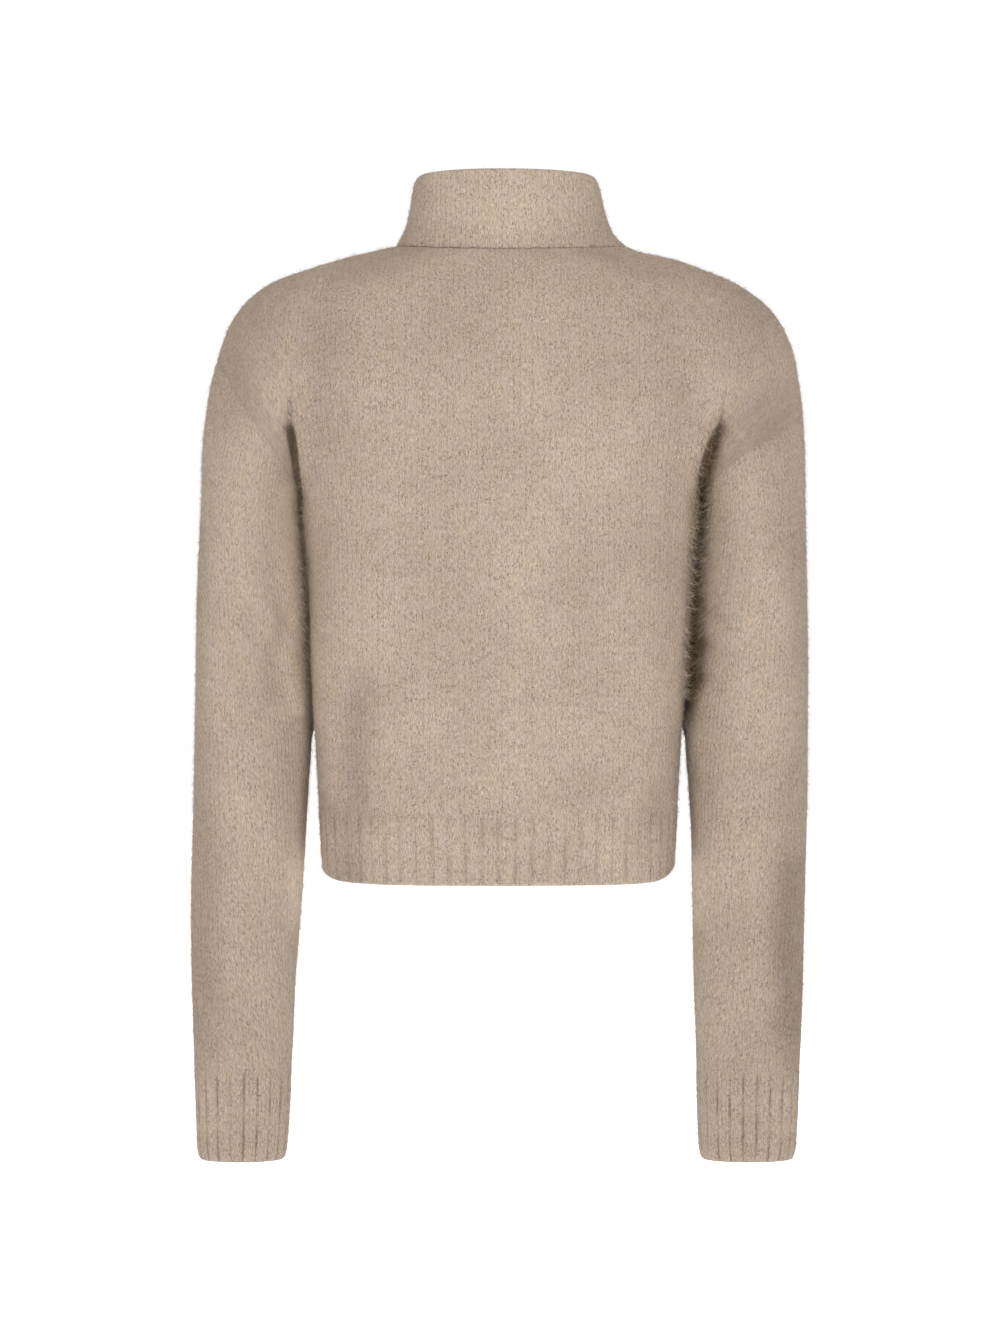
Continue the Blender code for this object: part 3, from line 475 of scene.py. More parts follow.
# %% Rib grids
HEM_RIB = 13.2
CUFF_RIB = 11.4
RIB_COLUMNS = 12
RIB_ROWS = np.concatenate([np.linspace(0, 0.95, 21), [0.968, 0.982, 0.993, 1.0]])[:, None]
FINE_STEPS = 1441
HEM_LIFT_POWER = 16
# Share of a rib's full depth, from the loosest to the firmest, and how much and how fast it wavers
RIB_FIRMNESS = (0.45, 1.0)
RIB_WAVER = 0.45
RIB_WAVER_LENGTH = 7.0
RIB_FADE = (2.0, 9.0)
RIB_END_FADE = 3.0
RIB_CROWN = 0.35


def zip_turn(side):
    half = read(BODY, "half", BODY_RIB_TOP) + read(BODY, "shift", BODY_RIB_TOP) * SIDE_SIGN[side]
    return math.pi - math.asin((KNIT_EDGE / half) ** (read(BODY, "power", BODY_RIB_TOP) / 2))


def even_ribs(line, fine, pitch):
    """Columns at even distances along a line: their place on it and their phase in ribs."""
    length = np.concatenate([[0], np.cumsum(np.linalg.norm(np.diff(line, axis=0), axis=1))])
    ribs = max(round(length[-1] / pitch), 1)
    phase = np.linspace(0, ribs, ribs * RIB_COLUMNS + 1)
    return np.interp(phase / ribs * length[-1], length, fine), phase


def hem_grid(half):
    """The hem rib under one panel, lifted a little at the side seams."""
    quarter = math.pi / 2
    start, end = {"back": (quarter, -quarter), "left": (quarter, zip_turn("left")),
                  "right": (-quarter, -zip_turn("right"))}[half]

    def place(turn, share):
        low = HEM + HEM_SIDE_LIFT * np.abs(np.sin(turn)) ** HEM_LIFT_POWER
        level = BODY_RIB_TOP + (HEM - BODY_RIB_TOP) * share
        left = np.stack(body_tube("left", level, np.abs(turn)), axis=-1)
        right = np.stack(body_tube("right", level, np.abs(turn)), axis=-1)
        points = np.where((turn >= 0)[..., None], left, right)
        points[..., 2] = BODY_RIB_TOP + (low - BODY_RIB_TOP) * share
        return points

    fine = np.linspace(start, end, FINE_STEPS)
    turns, phase = even_ribs(place(fine, 0 * fine), fine, HEM_RIB)
    turns = turns[None, :] + 0 * RIB_ROWS
    return place(turns, RIB_ROWS + 0 * turns), phase


def cuff_grid(side):
    def place(share, depth):
        level = SLEEVE_RIB_TOP + (CUFF_END - SLEEVE_RIB_TOP) * depth
        return np.stack(arm_tube(side, level, share), axis=-1)

    fine = np.linspace(0, 1, FINE_STEPS)
    shares, phase = even_ribs(place(fine, 0 * fine), fine, CUFF_RIB)
    shares = shares[None, :] + 0 * RIB_ROWS
    grid = place(shares, RIB_ROWS + 0 * shares)
    grid[:, -1] = grid[:, 0]
    return grid, phase


def ribs(phase, grid, height, groove, groove_painted_shade):
    """Height and painted shade in the grooves of ribs that are uneven and fade at the join and at the end."""
    nearest = np.round(phase).astype(int)
    trough = np.exp(-(((phase - nearest) / groove) ** 2))
    firmness = random.uniform(*RIB_FIRMNESS, nearest[-1] + 1)[nearest]
    along = run_lengths(grid, 0)
    waver = 1 + RIB_WAVER * np.sin(along / RIB_WAVER_LENGTH + 40.0 * firmness)
    fade = smoothstep(*RIB_FADE, along) * smoothstep(0, RIB_END_FADE, along[-1:] - along)
    trough = np.clip(trough * firmness * waver, 0, 1) * fade
    return height * (RIB_CROWN * fade - trough), groove_painted_shade * trough


print("ribs:", {name: int(grid[1][-1]) for name, grid in (("left cuff", cuff_grid("left")),
                                                         ("right cuff", cuff_grid("right")),
                                                         ("back hem", hem_grid("back")))})


# %% [markdown]
# ## Folds
# Knitwear this soft hangs in shallow, uneven troughs: down the back beside the hem rib, over the
# shoulder blades, inside the elbows and where the sleeve meets its rib. A simulation would fold a
# cloth this thick and elastic too sharply, so each one is listed as a line with a width.

# %% Folds
FOLD_COLUMNS = "facing x0 z0 x1 z1 width height"
LARGE_FOLDS = [
    (1, 112, -350, 114, -500, 15, -3.6),
    (1, 138, -370, 134, -500, 14, 2.0),
    (1, -66, -415, -64, -490, 16, -2.4),
    (1, -104, -480, -124, -430, 10, -1.6),
    (1, 140, -66, 150, -150, 20, -3.0),
    (1, -128, -60, -150, -150, 20, -3.0),
    (1, 0, -200, 4, -330, 60, 2.0),
    (-1, 128, -90, 148, -170, 16, -3.0),
    (-1, -124, -90, -148, -170, 16, -3.0),
    (-1, 84, -330, 92, -495, 16, -2.4),
    (-1, -90, -300, -84, -495, 16, -2.4),
    (-1, 48, -200, 60, -300, 22, -1.6),
    (1, 196, -300, 176, -352, 13, -2.8),
    (1, 214, -330, 190, -372, 11, -1.8),
    (1, -214, -420, -228, -560, 18, -2.0),
    (-1, 236, -318, 190, -350, 12, -3.4),
    (-1, 232, -360, 186, -384, 12, -2.6),
    (-1, -236, -310, -190, -346, 12, -3.2),
    (-1, -232, -356, -188, -386, 12, -2.4),
    (1, 224, -610, 196, -640, 9, -1.6),
    (1, -220, -612, -188, -642, 9, -1.8),
    (-1, 222, -604, 192, -640, 9, -2.0),
    (-1, -214, -606, -184, -640, 9, -2.0),
]
# Finer ones that only the looks need
FINE_FOLDS = [
    (1, 124, -405, 106, -448, 7, -1.2),
    (1, 96, -438, 92, -500, 7, -0.9),
    (1, 30, -452, 34, -502, 9, -0.7),
    (1, -118, -470, -134, -430, 6, -1.0),
    (1, -30, -470, -26, -502, 8, -0.6),
    (1, 128, -160, 112, -186, 9, -1.0),
    (1, -146, -118, -160, -150, 7, -1.4),
    (1, -126, -150, -108, -178, 9, -0.9),
    (1, -140, -300, -62, -304, 4.5, -0.5),
    (1, -120, -362, -20, -358, 5, -0.4),
    (1, -181, -112, -171, -140, 6, 1.4),
    (1, 181, -112, 171, -140, 6, 1.4),
    (1, 198, -64, 208, -124, 28, -2.4),
    (1, -200, -64, -212, -124, 28, -2.0),
    (1, -150, -344, -166, -341, 2.6, -1.2),
    (1, 166, -298, 176, -330, 6, -1.6),
    (1, 164, -346, 186, -356, 6, -1.2),
    (1, 182, -262, 168, -300, 9, -1.4),
    (1, -158, -286, -176, -302, 6, -1.8),
    (1, -156, -316, -182, -330, 7, -2.4),
    (1, -154, -346, -172, -352, 6, -1.6),
    (1, -230, -560, -226, -640, 12, -1.6),
    (1, 236, -500, 240, -640, 10, -1.2),
    (1, 206, -470, 196, -560, 14, -1.0),
    (1, -196, -450, -186, -540, 12, -1.0),
    (1, 96, -449, 46, -451, 2.4, -0.6),
    (1, 214, -632, 208, -654, 5, -0.8),
    (1, -206, -630, -200, -654, 5, -0.8),
    (-1, 110, -410, 124, -446, 8, -1.2),
    (-1, -116, -400, -128, -446, 8, -1.4),
    (-1, 30, -120, 44, -180, 14, -0.9),
    (-1, -34, -110, -52, -184, 14, -1.0),
    (-1, 210, -430, 200, -540, 13, -1.4),
    (-1, -206, -440, -198, -550, 13, -1.4),
]
FOLDS = table(FOLD_COLUMNS, LARGE_FOLDS + FINE_FOLDS)
print("folds", len(FOLDS["x0"]))


def along_lines(points, lines, low, high):
    """The effect of soft-edged lines on points; low and high limit it to the back or the front."""
    effect = np.zeros(len(points))
    for facing, x0, z0, x1, z1, width, rise in zip(*lines.values()):
        run = np.array([x1 - x0, z1 - z0])
        offset = points[:, [0, 2]] - (x0, z0)
        along = np.clip(offset @ run / (run @ run), 0, 1)
        away = np.linalg.norm(offset - along[:, None] * run, axis=1)
        effect += rise * np.exp(-((away / width) ** 2)) * smoothstep(low, high, facing * points[:, 1])
    return effect


# %% [markdown]
# ## Painted shade in the underarms, and painted shade and light in broad bands
# Where sleeve and body press together the pile closes and little light gets in. The painted shade is
# deep and wide beside the body on the right of the picture and narrow on the left. Elsewhere broad
# bands of painted shade darken the cloth, and pale bands (below 0) are painted light. The rendered
# light could give both, but it reaches deeper between meshes than between real hairs, so a tone
# stored on the cloth, which the material reads, paints the rest as shade and light.

# %% Painted shade and light on the cloth
# Painted shade in the troughs of folds, for each mm of their depth
TROUGH_SHADE = 0.024
# Depths from front to back over which bands on the back give way to the front's, and gap shade ends
BANDS_FACE = (-60, -25)
GAP_SHADE_FACE = (-55, -20)
# The shade's soft inner and outer edges, in its own widths
GAP_INNER_EDGE = (-0.3, 0)
GAP_OUTER_EDGE = (0.3, 1.7)
# Bands of painted shade (above 0) and painted light (below 0) on the cloth
PAINTED_LIGHT_AND_SHADE_BANDS = table(
    FOLD_COLUMNS,
    [
        (1, -238, -250, -238, -650, 17, 0.12),
        (1, -233, -500, -231, -640, 17, 0.11),
        (1, -204, -140, -222, -232, 22, 0.15),
        (1, 134, -88, 138, -150, 24, 0.10),
        (1, -140, -80, -150, -130, 24, 0.03),
        (1, 116, -370, 118, -500, 12, 0.11),
        (1, 134, -450, 126, -500, 14, 0.15),
        (1, -124, -460, -128, -500, 14, 0.10),
        (1, 202, -72, 212, -130, 26, 0.06),
        (1, -200, -70, -212, -130, 26, 0.04),
        (1, 240, -230, 243, -650, 12, 0.13),
        (1, 64, 34, 62, 50, 8, 0.10),
        (1, -60, -250, -84, -330, 20, 0.03),
        (1, 206, -560, 208, -725, 42, 0.05),
        (1, -200, -560, -200, -725, 42, 0.06),
        (1, 169, -200, 163, -370, 8, -0.30),
        (1, 148, -200, 144, -380, 7, -0.16),
        (1, -146, -190, -142, -380, 7, -0.16),
        (1, 163, -200, 158.5, -370, 5, -0.30),
        (1, 160, -226, 157, -372, 3.4, -0.40),
        (1, 159, -386, 163, -540, 6, -0.30),
        (1, -157, -392, -158, -540, 6, -0.20),
        (1, 96, -12, 140, -26, 12, -0.08),
        (1, -100, -12, -145, -26, 12, -0.08),
        (1, -70, -18, 70, -18, 12, -0.05),
        (1, -60, 26, 60, 26, 34, -0.07),
        (1, -130, -478, 130, -478, 24, -0.07),
        (-1, -130, -478, 130, -478, 24, -0.05),
        (-1, 206, -560, 208, -725, 42, 0.05),
        (-1, -200, -560, -200, -725, 42, 0.06),
        (-1, 226, -400, 229, -640, 13, 0.10),
        (-1, -226, -420, -229, -620, 12, 0.08),
        (-1, 130, -90, 142, -150, 24, 0.05),
        (-1, -128, -90, -142, -150, 24, 0.05),
    ],
)
# Painted shade in the underarm gaps, on each side: height, distance of the shade's inner edge from
# the middle, its width and its depth
GAP_SHADE = {
    "left": table(
        "z edge width depth",
        [(-144, 166, 4, 0), (-150, 163.5, 4, 0.75), (-178, 158.5, 4, 0.8), (-202, 156.5, 3, 0.6),
         (-236, 155, 2, 0)],
    ),
    "right": table(
        "z edge width depth",
        [(-142, 174, 5, 0), (-150, 170, 6, 0.7), (-165, 163, 8, 0.82), (-182, 158, 9, 0.88),
         (-202, 156.5, 8, 0.8), (-230, 155, 8, 0.7), (-282, 152.5, 8, 0.6), (-322, 150, 11, 0.78),
         (-344, 149, 11, 0.88), (-362, 148.5, 8, 0.72), (-386, 149, 4, 0)],
    ),
}


def painted_shade_and_light(points, folds):
    """Painted shade and light as a tone: 1 on open cloth, less in painted shade in the troughs of folds, in
    dark bands and in the underarm gaps, more in pale bands of painted light.
    """
    tone = 1 + TROUGH_SHADE * np.minimum(folds, 0) - along_lines(points, PAINTED_LIGHT_AND_SHADE_BANDS, *BANDS_FACE)
    x, y, z = points.T
    for side, data in GAP_SHADE.items():
        away = (x * SIDE_SIGN[side] - read(data, "edge", z)) / read(data, "width", z)
        near = np.where(away < 0, smoothstep(*GAP_INNER_EDGE, away), 1 - smoothstep(*GAP_OUTER_EDGE, away))
        tone *= 1 - near * read(data, "depth", z) * smoothstep(*GAP_SHADE_FACE, y)
    return tone


print("painted_light_and_shade bands", len(PAINTED_LIGHT_AND_SHADE_BANDS["x0"]))


# %% [markdown]
# ## Edges and seams
# A knit is sewn with a turned-in seam, which draws the cloth in along a thin line, and its open ends
# roll inwards. Both are shape: a shallow groove at each sewn edge, and a round turn at each free end.

# %% Edges
WALL = 2.6
SEAM_WIDTH = 3.0
SEAM_DEPTH = 0.55
ROLL_WIDTH = 2.2
ROLL_DEPTH = 1.3
# How far the inside turns out where an edge rolls, as a share of the roll
ROLL_INSIDE = 0.6
FOLD_FACE = (0, 30)
SHARP_RIM = math.radians(60)


def run_lengths(grid, axis):
    """Distance along rows or columns from the grid's first edge, in mm."""
    step = np.linalg.norm(np.diff(grid, axis=axis), axis=2)
    start = np.zeros_like(np.take(step, [0], axis=axis))
    return np.cumsum(np.concatenate([start, step], axis=axis), axis=axis)


def beside(grid, edges, width, shape):
    """The strongest effect of the named edges on each point, from 0 to the edge's own share."""
    down, across = run_lengths(grid, 0), run_lengths(grid, 1)
    found = {"first_row": down, "last_row": down[-1:] - down,
             "first_column": across, "last_column": across[:, -1:] - across}
    effect = np.zeros(grid.shape[:2])
    for edge, share in edges.items():
        effect = np.maximum(effect, share * shape(np.clip(1 - found[edge] / width, 0, 1)))
    return effect


def make_patch(grid, u, v, sewn=None, rolled=None, ribbing=(0, 0)):
    """A grid with its cloth coordinates in mm, its sewn and rolled edges and its ribs, with painted shade in
    their grooves.
    """
    seam = beside(grid, sewn or {}, SEAM_WIDTH, lambda t: t**2)
    roll = beside(grid, rolled or {}, ROLL_WIDTH, lambda t: 1 - np.sqrt(1 - t**2))
    return {"grid": grid, "u": u + 0 * seam, "v": v + 0 * seam, "seam": seam, "roll": roll,
            "rib": ribbing[0] + 0 * seam, "groove": ribbing[1] + 0 * seam}


print("a wall of", WALL, "mm, seams", SEAM_DEPTH, "mm deep")


# %% [markdown]
# ## From grid to shell
# A knitted panel is one layer about 2.6 mm thick. Grids that touch are welded into one outside,
# pushed out or in along its normals by folds, ribs and edges, then given an inside and rims. This
# keeps every wall closed, where a Solidify modifier would tear at the crease under the arm.

# %% Shells
def facing_out(points, faces, row_centres):
    """The faces, turned over together if most of them look towards their rows' centres."""
    corners = points[faces]
    normal = np.cross(corners[:, 2] - corners[:, 0], corners[:, 3] - corners[:, 1])
    outward = corners.mean(axis=1) - row_centres
    return faces if (normal[:, :2] * outward[:, :2]).sum() > 0 else faces[:, ::-1]


def gathered(patches, own_axis):
    """All patches as one list of points and outward quads, with their data side by side."""
    points, faces, data, count = [], [], {}, 0
    for patch in patches:
        grid = patch["grid"]
        rows, columns = grid.shape[:2]
        index = np.arange(rows * columns).reshape(rows, columns)
        quads = np.stack([index[:-1, :-1], index[:-1, 1:], index[1:, 1:], index[1:, :-1]], axis=-1)
        quads = quads.reshape(-1, 4)
        centre = grid[:, :-1].mean(axis=1) if own_axis else np.zeros((rows, 3))
        quads = facing_out(grid.reshape(-1, 3), quads, centre[np.repeat(np.arange(rows - 1), columns - 1)])
        points.append(grid.reshape(-1, 3))
        faces.append(quads + count)
        count += rows * columns
        for key in ("u", "v", "seam", "roll", "rib", "groove"):
            data.setdefault(key, []).append(patch[key].ravel())
    joined = {key: np.concatenate(part) for key, part in data.items()}
    return np.concatenate(points), np.concatenate(faces), joined


def mesh_object(name, points, faces):
    """A new object with a mesh whose points are given in mm."""
    mesh = bpy.data.meshes.new(name)
    mesh.from_pydata((points * MM).tolist(), [], faces)
    mesh.shade_smooth()
    thing = bpy.data.objects.new(name, mesh)
    SCENE.collection.objects.link(thing)
    return thing


def shell(name, patches, own_axis=False):
    """One panel: a welded outside with relief, an inside, rims, cloth coordinates, and a tone of painted
    shade and light.
    """
    points, faces, data = gathered(patches, own_axis)
    _, first, welded = np.unique(np.round(points, 3), axis=0, return_index=True, return_inverse=True)
    base, quads = points[first], welded.ravel()[faces]
    corners = base[quads]
    face_normal = np.cross(corners[:, 2] - corners[:, 0], corners[:, 3] - corners[:, 1])
    normal = np.zeros_like(base)
    for corner in range(4):
        np.add.at(normal, quads[:, corner], face_normal)
    normal /= np.maximum(np.linalg.norm(normal, axis=1, keepdims=True), 1e-9)
    seam, roll, rib, groove = (data[key][first] for key in ("seam", "roll", "rib", "groove"))
    folds = along_lines(base, FOLDS, *FOLD_FACE)
    # Painted shade and light, stored as the tone attribute: fold troughs, underarm gaps, bands and rib
    # grooves
    tone = painted_shade_and_light(base, folds) * (1 - groove)
    outer = base + normal * (folds + rib - SEAM_DEPTH * seam - ROLL_DEPTH * roll)[:, None]
    inner = base + normal * (folds - WALL + ROLL_INSIDE * roll)[:, None]
    count = len(base)
    ends = np.concatenate([quads[:, [i, (i + 1) % 4]] for i in range(4)])
    there = ends[:, 0].astype(np.int64) * count + ends[:, 1]
    back = ends[:, 1].astype(np.int64) * count + ends[:, 0]
    rim = ends[~np.isin(there, back)]
    rims = np.stack([rim[:, 1], rim[:, 0], rim[:, 0] + count, rim[:, 1] + count], axis=1)
    all_faces = np.concatenate([quads, quads[:, ::-1] + count, rims])
    thing = mesh_object(name, np.concatenate([outer, inner]), all_faces.tolist())
    cloth = np.stack([data["u"], data["v"]], axis=-1) * MM
    rim_cloth = cloth[first][rim[:, [1, 0, 0, 1]]]
    loops = np.concatenate([cloth[faces], cloth[faces[:, ::-1]], rim_cloth])
    thing.data.uv_layers.new(name="cloth").data.foreach_set("uv", loops.ravel().astype(np.float32))
    for key, value in (("seam", seam), ("tone", tone)):
        layer = thing.data.attributes.new(key, "FLOAT", "POINT")
        layer.data.foreach_set("value", np.concatenate([value, value]).astype(np.float32))
    thing.data.set_sharp_from_angle(angle=SHARP_RIM)
    area = np.linalg.norm(face_normal, axis=1) / 2
    print(name, 2 * len(all_faces), "triangles", round(area.sum() * MM * MM, 4), "m2")
    return thing, {"points": outer, "normal": normal, "quads": quads, "area": area, "tone": tone}


# %% [markdown]
# ## The panels
# A maker knits a back and two fronts that reach over the shoulders to the dropped armholes. Each
# could be one grid, but its columns would bunch at the crease, so a body grid and a lobe over the
# arm are welded. The material draws its stitches in cloth coordinates, in real lengths: u counts
# across the columns of stitches, round the body from the middle, and v along them.

# %% Back and fronts
pieces = {}
surfaces = {}
# How much of a full seam shows at each kind of sewn edge
NECK = 0.85
ARMHOLE = 0.5
SIDE = 0.3


def level_run(grid, start=0.0):
    """Distance round each row, measured level, from its first column."""
    flat = grid.copy()
    flat[..., 2] = 0
    return start + run_lengths(flat, 1)


def body_patches(side, half):
    """The two grids of one side's half panel, with their seams."""
    grid = body_grid(side, half)
    u, v = level_run(grid), run_lengths(grid, 0)
    free = {} if half == "back" else {"first_column": 1.0}
    body = make_patch(grid, u * SIDE_SIGN[side], v, sewn={"last_row": NECK}, rolled=free)
    side_seam = beside(grid, {"last_column": SIDE}, SEAM_WIDTH, lambda t: t**2)
    body["seam"] = np.maximum(body["seam"], side_seam * (BODY_LEVELS[:, None] <= UNDERARM))
    lobe = lobe_grid(side, half)
    start = len(BELOW)
    lobe[:, 0] = grid[start:, -1]
    lobe_u = level_run(lobe, u[start:, -1:])
    lobe_v = v[start:, -1:] + 0 * lobe_u
    sewn = {"first_row": ARMHOLE, "last_row": NECK, "last_column": SIDE}
    return [body, make_patch(lobe, lobe_u * SIDE_SIGN[side], lobe_v, sewn=sewn)]


for name, panel in (("back", body_patches("left", "back") + body_patches("right", "back")),
                    ("front_left", body_patches("left", "front")),
                    ("front_right", body_patches("right", "front"))):
    pieces[name], surfaces[name] = shell("knit_" + name, panel)


# %% [markdown]
# ## Sleeves and collar
# A sleeve is knitted flat with a low cap and sewn into a tube; a funnel collar is picked up from the
# neck and knitted upwards in plain stitch, with an edge that rolls in. A modifier could spin or
# bridge them, but they stay on the same form as the body, so that the seams meet all the way. On a
# sleeve u is measured from the line down its outside, so that the columns run straight down it.

# %% Sleeves and collar
for side in SIDE_SIGN:
    name = "sleeve_" + side
    grid = sleeve_grid(side)
    around = run_lengths(grid, 1)
    ridge = around[:, [grid.shape[1] // 2]]
    patch = make_patch(grid, around - ridge, -run_lengths(grid, 0), sewn={"first_row": ARMHOLE})
    pieces[name], surfaces[name] = shell("knit_" + name, [patch], own_axis=True)

halves = []
for side in SIDE_SIGN:
    grid = collar_grid(side)
    grid[:, -1, 0] = 0
    around = run_lengths(grid, 1)
    u = (around[:, -1:] - around) * SIDE_SIGN[side]
    rolled = {"last_row": 1.0, "first_column": 1.0}
    halves.append(make_patch(grid, u, run_lengths(grid, 0), sewn={"first_row": NECK}, rolled=rolled))
pieces["collar"], surfaces["collar"] = shell("knit_collar", halves)


# %% [markdown]
# ## Ribbed hem and cuffs
# A rib is knitted on smaller needles, so it grips and its free end draws in and rolls. It could be
# scaled in, but each point moves in along its own row instead, which keeps the depth of the ribs.

# %% Ribbed hem and cuffs
CUFF_PULL = (3.2, 9.0)
# Height, groove width in ribs and the depth of the painted shade in the grooves
CUFF_RELIEF_AND_SHADE = (1.1, 0.075, 0.42)
HEM_RELIEF_AND_SHADE = (0.8, 0.14, 0.20)
HEM_SEAM = 0.8


def drawn_in(grid, amount, reach):
    """A rib's end draws in: moves its last rows towards the middle of each row."""
    left = run_lengths(grid, 0)
    left = left[-1:] - left
    share = 1 - np.sqrt(1 - np.clip(1 - left / reach, 0, 1) ** 2)
    middle = grid[:, :-1].mean(axis=1, keepdims=True) * (1, 1, 0)
    out = grid * (1, 1, 0) - middle
    return grid - out / np.linalg.norm(out, axis=2, keepdims=True) * (amount * share)[..., None]


for side in SIDE_SIGN:
    name = "cuff_" + side
    grid, phase = cuff_grid(side)
    grid = drawn_in(grid, *CUFF_PULL)
    ribbing = ribs(phase, grid, *CUFF_RELIEF_AND_SHADE)
    patch = make_patch(grid, phase[None, :] * CUFF_RIB, -run_lengths(grid, 0), {}, {"last_row": 1.0}, ribbing)
    pieces[name], surfaces[name] = shell("rib_" + name, [patch], own_axis=True)

for half, name in (("back", "hem_back"), ("left", "hem_front_left"), ("right", "hem_front_right")):
    grid, phase = hem_grid(half)
    ribbing = ribs(phase, grid, *HEM_RELIEF_AND_SHADE)
    sewn = {"first_column": HEM_SEAM} | ({"last_column": HEM_SEAM} if half == "back" else {})
    rolled = {"last_row": 1.0} | ({} if half == "back" else {"last_column": 1.0})
    patch = make_patch(grid, phase[None, :] * HEM_RIB, -run_lengths(grid, 0), sewn, rolled, ribbing)
    pieces[name], surfaces[name] = shell("rib_" + name, [patch])


# %% [markdown]
# ## Materials
# Colours are written as sRGB hex values, as a picture shows them, and turned to linear light. One
# helper adds a node with its settings and links; every material is built with it. A node given for
# a socket stands for the first of its outputs that is in use.

# %% Node helpers
def linear(hex_colour):
    """An sRGB hex colour as linear light."""
    parts = [int(hex_colour[i : i + 2], 16) / 255 for i in (1, 3, 5)]
    return [c / 12.92 if c <= 0.04045 else ((c + 0.055) / 1.055) ** 2.4 for c in parts] + [1.0]


def fill(made, **sockets):
    """Fills a node's inputs, by name or as i0, i1 and so on, with values, links or other nodes."""
    for name, value in sockets.items():
        socket = made.inputs[int(name[1:]) if name[1:].isdigit() else name.replace("_", " ")]
        if isinstance(value, bpy.types.Node):
            value = next(output for output in value.outputs if output.enabled)
        if isinstance(value, bpy.types.NodeSocket):
            made.id_data.links.new(value, socket)
        else:
            socket.default_value = value
    return made


def node(tree, kind, settings=None, **sockets):
    """Adds a shader node, sets its properties and fills its inputs."""
    made = tree.nodes.new("ShaderNode" + kind)
    for name, value in (settings or {}).items():
        setattr(made, name, value)
    return fill(made, **sockets)


def new_material(name):
    material = bpy.data.materials.new(name)
    material.use_nodes = True
    return material, material.node_tree, material.node_tree.nodes["Principled BSDF"]


print("oatmeal in linear light", [round(c, 3) for c in linear("#B8A793")])


# %% [markdown]
# ### Brushed wool-blend jersey
# The yarn is a soft blend of wool and synthetic fibre in two close oatmeal shades, knitted in plain
# stitch and brushed with fine wire, so that loose fibres veil the stitches. The eye sees a fine
# vertical grain, pinprick gaps between stitches, faint columns and cloudy patches of shade, and no
# shine at all: wool's roughness is close to 1, with a weak sheen from the fibre ends.

# %% Knit material
GRAIN_WIDTH = 0.85
GRAIN_LENGTH = 3.6
GAP_PITCH = 2.6
WALE = 4.7
PATCH = 15.0
# Settings that several nodes share
PLANE = {"noise_dimensions": "2D"}
SOFT_STEP = {"interpolation_type": "SMOOTHSTEP"}
OF_COLOURS = {"data_type": "RGBA"}
UNCLAMPED = {"clamp_factor": False}


